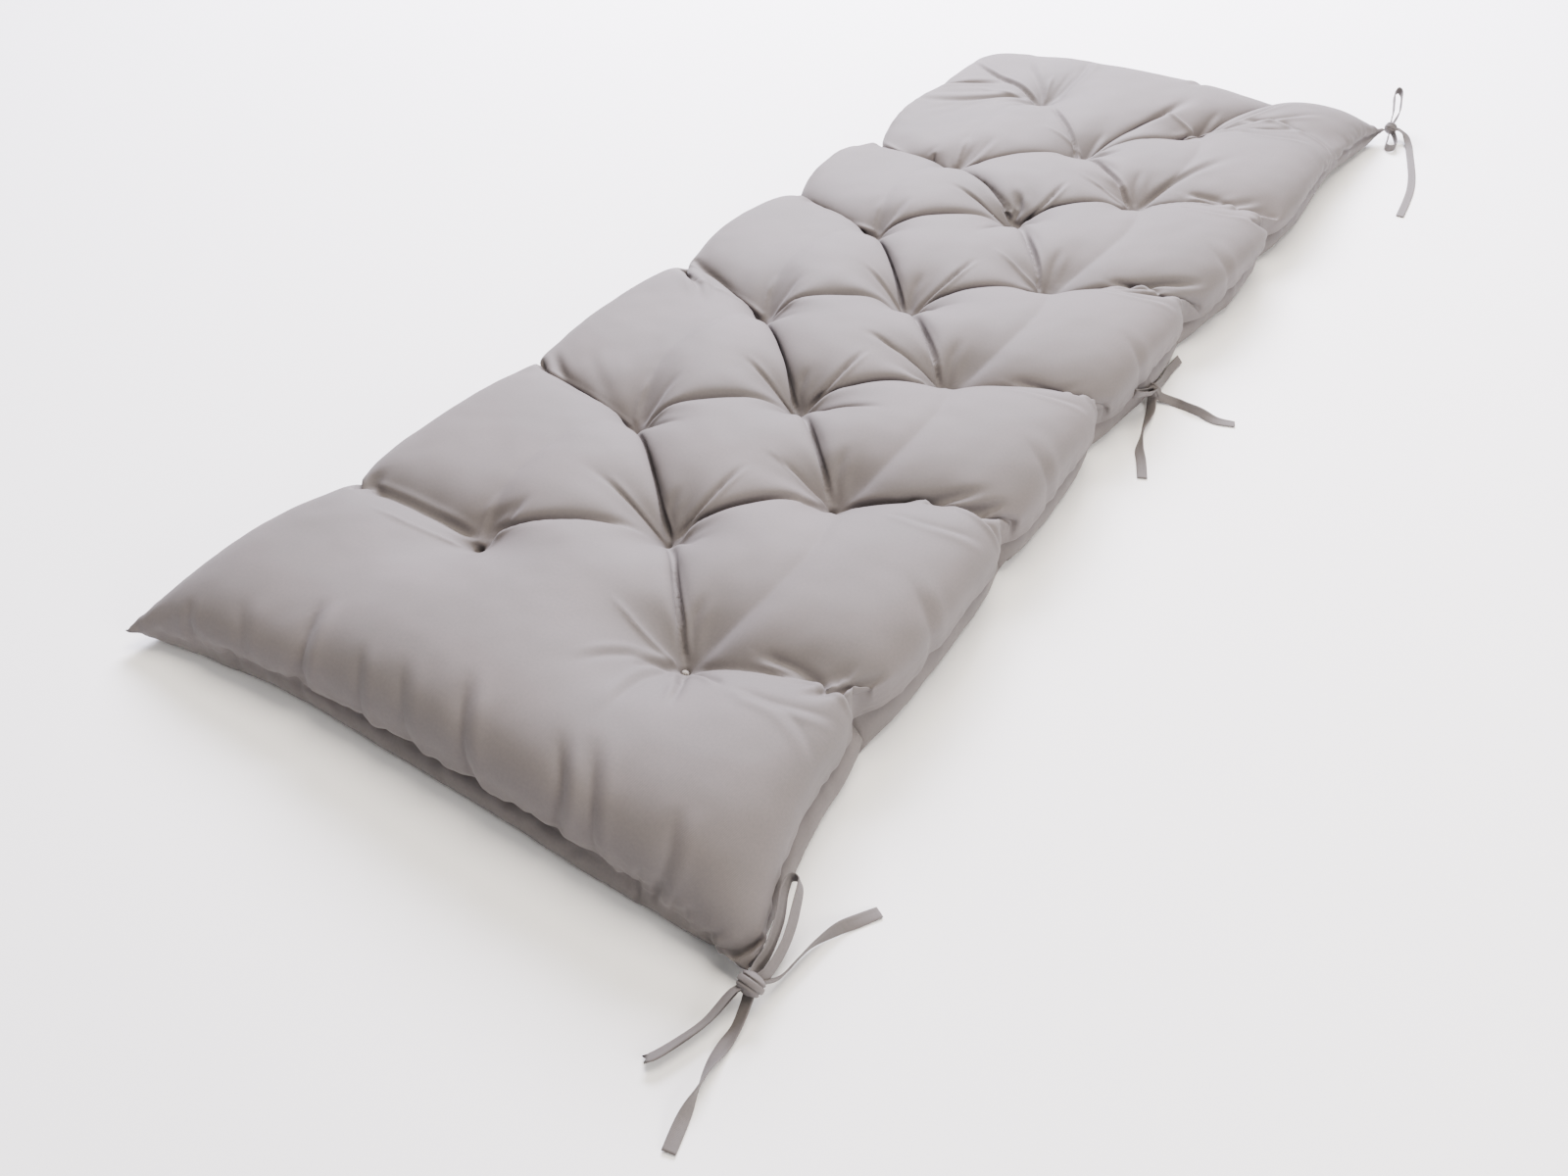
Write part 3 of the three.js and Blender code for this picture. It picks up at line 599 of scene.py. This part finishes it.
def fill(panels, u, v, steps):
    """Runs the filling for a number of steps and returns the panels."""
    x = panels.astype(np.float32)
    hu, hv = np.float32(u[1] - u[0]), np.float32(v[1] - v[0])
    diagonal = np.float32(np.hypot(hu, hv))
    tuft_i = [int(np.argmin(abs(u - a))) for a, b in FLAT_TUFTS]
    tuft_j = [int(np.argmin(abs(v - b))) for a, b in FLAT_TUFTS]
    flat_x, flat_y, in_x, in_y = flat_places(u, v)
    seam = np.stack([*finished(flat_x, flat_y), seam_height(in_x, in_y)]).astype(np.float32)
    tips = np.clip(np.hypot(in_x, in_y) / TIP, 0, 1).astype(np.float32)
    sign = np.array([1, -1], np.float32)[:, None, None, None]
    push = sign * np.float32(PRESS / (4 * hv)) * tips

    def hold():
        """The tufts and the four corner tips stay where they are."""
        x[:, 0, tuft_i, tuft_j], x[:, 1, tuft_i, tuft_j] = TUFTS[:, 0], TUFTS[:, 1]
        x[0, 2, tuft_i, tuft_j], x[1, 2, tuft_i, tuft_j] = TUFT_HEIGHT - HELD_TOP, TUFT_HEIGHT - HELD_UNDER
        for i in (0, -1):
            for j in (0, -1):
                x[:, :, i, j] = seam[:, i, j]

    def sew(share):
        """Both rims become their mean, moved by a share of the way to the seam's own place."""
        for rim in RIMS:
            middle = (x[0][rim] + x[1][rim]) * np.float32(0.5)
            middle += np.float32(share) * (seam[rim] - middle)
            x[0][rim] = x[1][rim] = middle

    before = x.copy()
    for step in range(steps):
        if step % 20 == 0:
            allowed = mould(x[0, 0], x[0, 1], in_x, in_y)[0].astype(np.float32)
        force = normals(x, push)
        force[0] *= np.clip((allowed - x[0, 2]) / np.float32(FADE) + np.float32(OVER), -1, 1)[None]
        speed = (x - before) * np.float32(DAMP)
        speed[:, :2] *= np.where(x[:, 2:3] <= 1e-5, np.float32(FRICTION), np.float32(1))
        before = x.copy()
        x += speed + force
        x[:, 2] -= np.float32(WEIGHT)
        for k in range(PASSES):
            for o in (0, 1):
                a, b = (x.shape[2] - o) // 2 * 2, (x.shape[3] - o) // 2 * 2
                pull(x[:, :, o:o + a:2], x[:, :, o + 1:o + a:2], hu, 1, COMPRESS)
                pull(x[..., o:o + b:2], x[..., o + 1:o + b:2], hv, 1, COMPRESS)
                first, second = x[:, :, o:o + a:2], x[:, :, o + 1:o + a:2]
                pull(first[..., :-1], second[..., 1:], diagonal, SHEAR, SHEAR * COMPRESS)
                pull(first[..., 1:], second[..., :-1], diagonal, SHEAR, SHEAR * COMPRESS)
            sew(SEAM_PULL if k == 0 else 0)
            hold()
        soften(x, BEND)
        gap = np.clip(x[1, 2] + np.float32(CLOSEST) - x[0, 2], 0, None)
        gap[[0, -1], :] = 0
        gap[:, [0, -1]] = 0
        x[0, 2] += gap * np.float32(0.5)
        x[1, 2] -= gap * np.float32(0.5)
        np.clip(x[:, 2], 0, None, out=x[:, 2])
        keep_order(x, 0, np.float32(LEAST_CELL) * hu)
        keep_order(x, 1, np.float32(LEAST_CELL) * hu)
        sew(0)
        hold()
    return x.astype(float)


# %% [markdown]
# ## Folds too fine for the filling
#
# A stitch gathers the cloth round it into short folds, and each crease between two tufts ends in a slit only
# a few millimetres wide, with one lip rolled over it. The solver's cells are too large for these. They are
# drawn along curved lines on the flat panel, as grooves and ridges that move the cloth along its normal, with
# the places and lengths that the photograph shows. The seam gets its pull-in and its small puckers here too.

# %% Lines of folds, in millimetres
# each kind is depth, half width, how far its lip stands up as a share of the depth, and, where it isn't 0.4,
# the share of its length over which it dies out. A negative depth is a ridge.
SLIT = (7.0, 2.4, 0.30)
CHANNEL_SLIT = (5.5, 2.8, 0.45)
FIRST_SLIT = (4.2, 3.6, 0.3, 0.12)
SOFT = (3.0, 10.0, 0.0)
FOLD = (2.0, 4.5, 0.5)
RIDGE = (-2.2, 3.0, 0.0)

# these are measured from a tuft, and repeated at each tuft of its column
LEFT_FOLDS = [
    ([(-10, -4), (-45, -13), (-100, -16)], RIDGE),
    ([(0, 8), (-14, 60), (-20, 120), (-14, 180), (0, 232)], SOFT),
    ([(3, 8), (12, 34), (16, 70)], FOLD), ([(-3, 7), (-10, 30), (-14, 62)], RIDGE)]
MIDDLE_FOLDS = [
    ([(4, 6), (18, 42), (27, 98)], (5.0, 2.4, 0.4)), ([(-6, 1), (-40, 3), (-82, 6)], RIDGE),
    ([(-3, 6), (-10, 26), (-12, 52)], FOLD), ([(5, -2), (24, -4), (46, -10)], FOLD)]
RIGHT_FOLDS = [
    ([(-6, 0), (-40, -1), (-85, 6)], (-2.6, 2.4, 0.0)),
    ([(2, 6), (22, 60), (30, 120), (22, 180), (4, 232)], SOFT),
    ([(52, 26), (96, 26), (136, 12), (178, 8)], (4.5, 3.6, 0.6)),
    ([(60, -24), (100, -26), (150, -14)], FOLD), ([(-4, 6), (-16, 32), (-20, 62)], FOLD),
    ([(4, -5), (14, -22), (20, -44)], FOLD), ([(-5, -5), (-16, -22), (-20, -40)], FOLD)]
NEAR_RIGHT_FOLDS = [
    ([(3, -5), (22, -36), (36, -70)], (4.0, 3.0, 0.4)),
    ([(8, -4), (34, -14), (58, -30)], (4.5, 3.2, 0.4)),
    ([(-6, -6), (-30, -30), (-52, -72)], FOLD), ([(-3, -8), (-4, -50), (2, -104)], FOLD),
    ([(70, -30), (110, -34), (150, -60)], FOLD)]
# these are measured from the panel's centre: puckers that start at the seam, and folds in the far corners
EDGE_FOLDS = [
    ([(-118, -787), (-124, -756), (-146, -700)], (5.0, 7.5, 0.45)),
    ([(-176, -787), (-182, -764), (-206, -730)], (1.6, 7.0, 0.4)),
    ([(48, -787), (34, -742), (8, -690)], (3.8, 7.0, 0.5)),
    ([(-10, -787), (-20, -750), (-44, -706)], (2.4, 7.0, 0.4)),
    ([(114, -787), (122, -748), (96, -700)], (4.2, 6.0, 0.5)),
    ([(156, -787), (148, -745), (122, -694)], (3.4, 6.0, 0.4)),
    ([(-60, -787), (-62, -756), (-80, -716)], (2.6, 6.0, 0.4)),
    ([(-238, -787), (-240, -768), (-252, -746)], (1.6, 5.0, 0.4)),
    ([(210, -787), (212, -754), (200, -712)], (3.0, 6.0, 0.4)),
    ([(306, -470), (262, -462), (212, -432)], (2.2, 7.0, 0.4)),
    ([(306, -236), (262, -230), (216, -204)], (2.2, 7.0, 0.4)),
    ([(306, 0), (264, 4), (220, 30)], (2.2, 7.0, 0.4)),
    ([(306, 236), (262, 240), (220, 264)], (2.2, 7.0, 0.4)),
    ([(122, 606), (168, 650), (196, 716)], (3.6, 5.0, 0.5)),
    ([(118, 612), (136, 670), (146, 740)], (2.8, 5.0, 0.5)),
    ([(126, 600), (190, 630), (250, 690)], (3.6, 5.0, 0.5)),
    ([(128, 594), (200, 600), (262, 634)], (2.8, 5.0, 0.5)),
    ([(-108, 612), (-102, 664), (-112, 740)], (3.0, 6.0, 0.5)),
    ([(-122, 606), (-160, 650), (-200, 720)], (2.6, 6.0, 0.5)),
    ([(36, 787), (42, 740), (36, 690)], (2.6, 6.0, 0.5))]


# %% Drawing them
# the spacing of the points on a fold's line, and how many half widths it reaches to either side
LINE_SPACING, LINE_REACH = 0.002, 5
# a tuft's fold that would end beyond this, counted from the panel's centre, is left out
LAST_FOLD = 0.77
# the cloth's unevenness and the puckers at the seam: height, smallest size and seed
UNEVEN, PUCKERS = (0.00018, 0.035, 2), (0.0010, 0.015, 3)
# how far in the puckers reach, and the seam's groove: depth, half width and how it dies out at the corners
PUCKER_REACH = 0.018
SEAM_DEPTH, SEAM_HALF, SEAM_FADE = 0.0032, 0.0026, 0.03


def groove(u, v, path, depth, half, lip, fade=0.4):
    """Heights of one fold and the part of the grid they lie on. Across the line, at a distance s in half
    widths, the height is -depth times (exp(-|s|^1.3) - lip exp(-(s - 1.9)^2)). It dies out in S curves, over
    the first eighth of its length and the last share that fade gives."""
    line = smooth_line([(x, y, 0) for x, y in path], LINE_SPACING)[0][:, :2]
    low, high = line.min(0) - LINE_REACH * half, line.max(0) + LINE_REACH * half
    part = (slice(*np.searchsorted(u, [low[0], high[0]])), slice(*np.searchsorted(v, [low[1], high[1]])))
    flat_x, flat_y = np.meshgrid(u[part[0]], v[part[1]], indexing="ij")
    dx, dy = flat_x[..., None] - line[:, 0], flat_y[..., None] - line[:, 1]
    k = np.argmin(dx * dx + dy * dy, axis=-1)
    ahead = np.gradient(line, axis=0)
    ahead /= np.linalg.norm(ahead, axis=1, keepdims=True)
    dx, dy = flat_x - line[k, 0], flat_y - line[k, 1]
    side = np.sign(dx * ahead[k, 1] - dy * ahead[k, 0])
    s = side * np.hypot(dx, dy) / half
    share = k / (len(line) - 1)
    ends = smooth(share / 0.15 + 0.2) * smooth((1 - share) / fade)
    return part, -depth * ends * (np.exp(-np.abs(s) ** 1.3) - lip * np.exp(-(s - 1.9) ** 2))


def flat_path(panels, u, v, start, end):
    """A straight line on the floor plan as a path on the flat panel: the grid points nearest to twelve points
    of the line, and a parabola fitted to them."""
    rows, share = [], np.linspace(0.03, 0.95, 12)
    for t in share:
        x, y = start[0] + t * (end[0] - start[0]), start[1] + t * (end[1] - start[1])
        distance = (panels[0, 0] - x) ** 2 + (panels[0, 1] - y) ** 2
        i, j = np.unravel_index(np.argmin(distance), panels.shape[2:])
        rows.append((u[i], v[j]))
    rows = np.array(rows)
    return np.stack([np.polyval(np.polyfit(share, rows[:, c], 2), share[::3]) for c in (0, 1)], 1)


def unevenness(shape, cell, smallest, seed):
    """Seeded noise whose waves of length w are faded by exp(-(smallest / w)^2), then made 1 deep."""
    waves = np.fft.rfft2(np.random.default_rng(seed).normal(size=shape))
    fx, fy = np.fft.fftfreq(shape[0], cell)[:, None], np.fft.rfftfreq(shape[1], cell)[None, :]
    field = np.fft.irfft2(waves * np.exp(-((fx ** 2 + fy ** 2) * smallest ** 2)), shape)
    return field / field.std()


def details(panels, u, v):
    """Moves the top panel along its normals by all folds, and both panels by the seam's pull and puckers."""
    height = np.zeros((2, len(u), len(v)))
    strokes = []
    for start, end, _, _, shape in CREASES:
        size = SLIT if shape is DIAMOND else FIRST_SLIT if shape is FIRST_CHANNEL else CHANNEL_SLIT
        strokes.append((flat_path(panels, u, v, start, end), size))
    for places, folds in ((FLAT_TUFTS[:6], LEFT_FOLDS), (FLAT_TUFTS[6:11], MIDDLE_FOLDS),
                          (FLAT_TUFTS[11:], RIGHT_FOLDS), (FLAT_TUFTS[11:12], NEAR_RIGHT_FOLDS)):
        for a, b in places:
            strokes += [([(a + x / 1000, b + y / 1000) for x, y in path], size) for path, size in folds
                        if b + path[-1][1] / 1000 < LAST_FOLD]
    strokes += [([(x / 1000, y / 1000) for x, y in path], size) for path, size in EDGE_FOLDS]
    for path, (depth, half, *shape) in strokes:
        part, amount = groove(u, v, path, depth / 1000, half / 1000, *shape)
        height[0][part] += amount
    _, _, in_x, in_y = flat_places(u, v)
    inside = np.minimum(in_x, in_y)
    (rough, *rough_noise), (pucker, *pucker_noise) = UNEVEN, PUCKERS
    height += rough * unevenness(in_x.shape, u[1] - u[0], *rough_noise)
    puckers = pucker * unevenness(in_x.shape, u[1] - u[0], *pucker_noise)
    height += puckers * np.exp(-(inside / PUCKER_REACH) ** 2)
    height -= SEAM_DEPTH * np.exp(-(inside / SEAM_HALF) ** 2) * smooth(in_y / SEAM_FADE)
    way = normals(panels, np.array([1.0, -1.0])[:, None, None, None])
    way /= np.linalg.norm(way, axis=1, keepdims=True)
    # at the rim both panels move along the mean of their normals, less where these nearly cancel out
    rim_way = way.mean(0)
    rim_way /= np.maximum(np.linalg.norm(rim_way, axis=0), 0.3)
    for rim in RIMS:
        way[0][rim] = way[1][rim] = rim_way[rim]
        height[1][rim[1:]] = height[0][rim[1:]]
    moved = panels + way * height[:, None]
    moved[:, 2] = np.maximum(moved[:, 2], 0)
    return moved


# %% [markdown]
# ## Sewing up and filling
#
# The real cushion is sewn right round, filled through a gap and tufted last. Here all of that happens at
# once. Cells of 8 mm find the pillows in 400 steps, cells of 4 mm sharpen the creases in 150 more, and the
# last halving to 2 mm is only for the fine folds, so the whole takes about fifteen seconds.

# %% Sew and fill
FIRST_CELL, FIRST_STEPS, SECOND_STEPS = 0.008, 400, 150

u, v = grid(FIRST_CELL)
panels = fill(lay_out(u, v), u, v, FIRST_STEPS)
panels, u, v = finer(panels, u, v)
panels = fill(panels, u, v, SECOND_STEPS)
panels, u, v = finer(panels, u, v)
panels = details(panels, u, v)
print("cushion", panels.shape[2:], "points a panel, highest", round(float(panels[0, 2].max()), 4), "m")


# %% [markdown]
# ## The cushion's mesh
#
# The top panel keeps every point of the grid and the underside every second one. Along the rim both use the
# same points, so the mesh is closed. The flat panel's own coordinates become the UV map, so the weave follows
# the cloth into every crease.

# %% One closed mesh
def cushion_mesh(name, panels, u, v):
    """Top cells are quads. Underside cells span two top cells each way, and those at the rim also take in the
    rim's points between their corners. Their part of the UV map is the mirror image beside the top's."""
    nu, nv = len(u), len(v)
    top = np.arange(nu * nv).reshape(nu, nv)
    low = top.copy()
    inner = np.zeros((nu, nv), bool)
    inner[2:-2:2, 2:-2:2] = True
    low[inner] = top.size + np.arange(inner.sum())
    points = np.concatenate([panels[0].reshape(3, -1).T, panels[1][:, inner].T])
    cells = np.stack([top[:-1, :-1], top[1:, :-1], top[1:, 1:], top[:-1, 1:]], -1).reshape(-1, 4)
    faces = list(cells)
    a, b, c, d = low[:-2:2, :-2:2], low[:-2:2, 2::2], low[2::2, 2::2], low[2::2, :-2:2]
    faces += list(np.stack([a, b, c, d], -1)[1:-1, 1:-1].reshape(-1, 4))
    left, right_rim = low[0, 1::2], low[-1, 1::2]
    near, far = low[1::2, 0], low[1::2, -1]
    sides = ((a[0, 1:-1], left[1:-1], b[0, 1:-1], c[0, 1:-1], d[0, 1:-1]),
             (a[-1, 1:-1], b[-1, 1:-1], c[-1, 1:-1], right_rim[1:-1], d[-1, 1:-1]),
             (a[1:-1, 0], b[1:-1, 0], c[1:-1, 0], d[1:-1, 0], near[1:-1]),
             (a[1:-1, -1], b[1:-1, -1], far[1:-1], c[1:-1, -1], d[1:-1, -1]))
    for side in sides:
        faces += list(np.stack(side, 1))
    corners = ((a[0, 0], left[0], b[0, 0], c[0, 0], d[0, 0], near[0]),
               (a[-1, 0], b[-1, 0], c[-1, 0], right_rim[0], d[-1, 0], near[-1]),
               (a[0, -1], left[-1], b[0, -1], far[0], c[0, -1], d[0, -1]),
               (a[-1, -1], b[-1, -1], far[-1], c[-1, -1], right_rim[-1], d[-1, -1]))
    faces += [np.array(corner) for corner in corners]
    flat_x, flat_y = np.meshgrid(u, v, indexing="ij")
    flat = np.stack([flat_x.ravel(), flat_y.ravel()], 1)
    flat = np.concatenate([flat, np.stack([flat_x[inner], flat_y[inner]], 1)])
    loops = np.concatenate(faces)
    uv = flat[loops] + [0.5, 1.0]
    uv[len(cells) * 4:] *= [-1, 1]
    uv[len(cells) * 4:] += [2, 0]
    return add_mesh(name, points, faces, uv)


cushion = cushion_mesh("cushion_cloth", panels, u, v)
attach(cushion, "root")
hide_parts("cushion_body")
print("cushion mesh", len(cushion.data.polygons), "faces")


# %% [markdown]
# ## Knots
#
# Each bow is held by a small knot, the tape wound three times round its own strands and pulled tight. Solving
# a real knot is not worth it at this size, so each is an oval ball with two narrow grooves between its turns,
# in the place and size of the CAD model's. The axis of its turns lies nearly square to the view, so that the
# grooves show.

# %% Knots
# which way the axis of each knot's turns points
AXES = {"near_knot": (0.1, 0.8, 0.55), "middle_knot": (0.2, 0.7, 0.6), "far_knot": (0.1, 0.5, 0.85)}
RINGS, RING_POINTS = 65, 112
# as shares of the radius: the ball under the turns, their height, how much lower the outer ones end, and how
# far they wander; then the grooves' depth, place along the axis and half width
BALL, TURN_HEIGHT, END_DROP, WANDER = 0.86, 0.20, 0.10, 0.16
GROOVE_DEPTH, GROOVE_PLACE, GROOVE_HALF = 0.17, 0.34, 0.07


def knot_mesh(name, centre, half, axis):
    """An oval ball under three turns of tape round an axis. Along the axis the radius falls by a sixth in a
    narrow groove on either side of the middle turn, and the turns wander with the angle round the axis."""
    a = np.linspace(-np.pi / 2, np.pi / 2, RINGS)[1:-1, None]
    b = np.linspace(0, 2 * np.pi, RING_POINTS, endpoint=False)[None, :]
    way = np.stack([np.cos(a) * np.cos(b), np.cos(a) * np.sin(b), np.sin(a) * np.ones_like(b)], -1)
    n, m = way.shape[:2]
    way = np.concatenate([way.reshape(-1, 3), [[0, 0, -1.0], [0, 0, 1.0]]])
    axis = np.array(axis) / np.linalg.norm(axis)
    side = np.cross(axis, [1, 0, 0])
    place = np.abs(way @ axis + WANDER * (way @ side))
    sunk = GROOVE_DEPTH * np.exp(-((place - GROOVE_PLACE) / GROOVE_HALF) ** 2)
    raised = TURN_HEIGHT - sunk - END_DROP * smooth((place - 0.5) / 0.5)
    points = (way * (BALL + raised)[:, None] * half + centre) / 1000
    ids, sides = ring_faces(n, m)
    south = np.stack([np.full(m, n * m), np.roll(ids[0], -1), ids[0]], 1)
    north = np.stack([np.full(m, n * m + 1), ids[-1], np.roll(ids[-1], -1)], 1)
    faces = [*sides, *south, *north]
    loops = np.concatenate(faces)
    uv = points[loops][:, :2] + points[loops][:, 2:]
    return add_mesh(name, points, faces, uv)


knots = {}
for name, (centre, half) in KNOTS.items():
    knots[name] = knot_mesh(name + "_tape", np.array(centre), half, AXES[name])
    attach(knots[name], "root")
    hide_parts(name)


# %% [markdown]
# ## The stitch that shows
#
# A tuft is a few turns of twine right through the cushion. The folds hide it at all tufts but the nearest
# one on the right, where a knot of 6 mm stands in the dip. It is the same ball with turns, at the mean height
# of the cloth within 6 mm of the tuft.

# %% The stitch that shows
STITCH_HALF, STITCH_AXIS, STITCH_ROUND = (3.2, 2.4, 2.2), (0.9, 0.3, 0.1), 0.006

x, y = RIGHT_TUFTS[0]
round_tuft = np.hypot(panels[0, 0] - x, panels[0, 1] - y) < STITCH_ROUND
dip = 1000 * float(panels[0, 2][round_tuft].mean())
stitch = knot_mesh("tuft_stitch", np.array([1000 * x, 1000 * y, dip]), np.array(STITCH_HALF), STITCH_AXIS)
print("stitch at a height of", round(dip, 1), "mm")
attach(stitch, "root")


# %% [markdown]
# ## Materials
#
# The cover is one dyed cotton cloth in a close plain weave, matt, with about eleven threads to a centimetre.
# The ties are strips of it, folded and stitched, so they are a little darker and rougher. An image of cloth
# would repeat and would not follow the creases, so the weave is two sets of sine ridges along the cloth's own
# UV, which the solver carried with it. A wave texture makes one ridge in pi / 10 of a unit, about 0.314, so
# the scale is that over the thread pitch in metres. The unevenness has two sizes: patches of about 100 mm
# where the dye and the pressing vary, and slubs of 2 to 3 mm.

# %% Node helper
# the length of one ridge of a wave texture at scale 1
WAVE_LENGTH = 0.314


def node(tree, kind, links=None, **settings):
    """Adds one node. settings are its properties, links give an input a value or another node's output."""
    made = tree.nodes.new(kind)
    for key, value in settings.items():
        setattr(made, key, value)
    for key, value in (links or {}).items():
        if isinstance(value, bpy.types.NodeSocket):
            tree.links.new(value, made.inputs[key])
        else:
            made.inputs[key].default_value = value
    return made


def new_material(name):
    """A material, its node tree and its shader node."""
    material = bpy.data.materials.new(name)
    material.use_nodes = True
    return material, material.node_tree, material.node_tree.nodes["Principled BSDF"]


def woven(name, base, shade, pitch, bump):
    """A plain weave: the product of two sine ridges as relief, 0.2 mm deep. Two noises added together mix the
    base colour and the shade between 0.7 and 1.3 of their sum. The roughness is that of pressed cotton."""
    material, tree, shader = new_material(name)
    flat = node(tree, "ShaderNodeUVMap", uv_map="flat").outputs[0]
    ridges = {"Vector": flat, "Scale": WAVE_LENGTH / pitch, "Distortion": 0.6, "Detail": 1.0,
              "Detail Scale": 2.0}
    warp = node(tree, "ShaderNodeTexWave", ridges, bands_direction="X").outputs["Fac"]
    weft = node(tree, "ShaderNodeTexWave", ridges, bands_direction="Y").outputs["Fac"]
    threads = node(tree, "ShaderNodeMath", {0: warp, 1: weft}, operation="MULTIPLY").outputs[0]
    patches = {"Vector": flat, "Scale": 9.0, "Detail": 3.0}
    cloud = node(tree, "ShaderNodeTexNoise", patches).outputs["Fac"]
    specks = {"Vector": flat, "Scale": 420.0, "Detail": 2.0}
    slub = node(tree, "ShaderNodeTexNoise", specks).outputs["Fac"]
    tone = node(tree, "ShaderNodeMath", {0: cloud, 1: slub}, operation="ADD").outputs[0]
    ramp = node(tree, "ShaderNodeMapRange", {"Value": tone, "From Min": 0.7, "From Max": 1.3}).outputs[0]
    colours = {0: ramp, 6: linear(shade), 7: linear(base)}
    mix = node(tree, "ShaderNodeMix", colours, data_type="RGBA").outputs[2]
    relief = node(tree, "ShaderNodeBump", {"Height": threads, "Strength": bump, "Distance": 0.0002})
    tree.links.new(mix, shader.inputs["Base Color"])
    tree.links.new(relief.outputs[0], shader.inputs["Normal"])
    for key, value in {"Roughness": 0.7, "Specular IOR Level": 0.2, "Sheen Weight": 0.05,
                       "Sheen Roughness": 0.5}.items():
        shader.inputs[key].default_value = value
    return material


cloth = woven("dyed plain weave cotton", "#6b6564", "#64605f", 0.0009, 0.25)
tie_cloth = woven("folded tie of the same cloth", "#676261", "#605c5b", 0.0009, 0.3)
cushion.data.materials.append(cloth)
for obj in [*tapes.values(), *knots.values()]:
    obj.data.materials.append(tie_cloth)
stitch.data.materials.append(woven("pale tufting twine", "#a39e99", "#96918c", 0.0006, 0.3))
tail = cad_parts["middle_tail"]
tail.data.materials.clear()
tail.data.materials.append(tie_cloth)


# %% [markdown]
# ## Floor and light
#
# The photograph is cut out on pure white, but its shading says how it was lit: a large soft light high behind
# the left side, a warmer one overhead and little from the camera's side, so the near face falls dark. Three
# softboxes and a weak white surround do that, over a pale floor that only catches the shadow.

# %% Floor and light
FLOOR_HALF, SURROUND = 9, 0.33

corners = np.array([(-1, -1, 0), (1, -1, 0), (1, 1, 0), (-1, 1, 0)]) * FLOOR_HALF
floor = add_mesh("floor", corners, np.array([[0, 1, 2, 3]]))
paper, _, shader = new_material("pale floor")
shader.inputs["Base Color"].default_value = linear("#fbfbfb")
shader.inputs["Roughness"].default_value = 0.9
floor.data.materials.append(paper)

world = bpy.data.worlds.new("studio")
bpy.context.scene.world = world
world.use_nodes = True
surround = world.node_tree.nodes["Background"]
surround.inputs["Color"].default_value = linear("#ffffff")
surround.inputs["Strength"].default_value = SURROUND


def softbox(name, place, target, size, power, colour):
    """A rectangular lamp of a width and height in metres and a power in watts, turned so that its own -Z runs
    from its place to the target."""
    data = bpy.data.lights.new(name, "AREA")
    data.shape, data.size, data.size_y = "RECTANGLE", *size
    data.energy, data.color = power, linear(colour)[:3]
    lamp = bpy.data.objects.new(name, data)
    bpy.context.scene.collection.objects.link(lamp)
    axis = np.array(place, float) - np.array(target)
    axis /= np.linalg.norm(axis)
    side = np.cross([0, 0, 1], axis)
    side /= np.linalg.norm(side)
    turn_and_place(lamp, side, np.cross(axis, side), axis, place)


softbox("key", (-1.3, 2.2, 2.0), (0, 0.1, 0), (2.0, 1.4), 620, "#f1eeff")
softbox("top", (0.2, 0.3, 2.6), (0, 0.301, 0), (1.6, 1.6), 120, "#fff3e4")
softbox("right", (2.4, -0.9, 1.1), (0.2, -0.5, 0), (1.2, 1.0), 62, "#fff8f2")
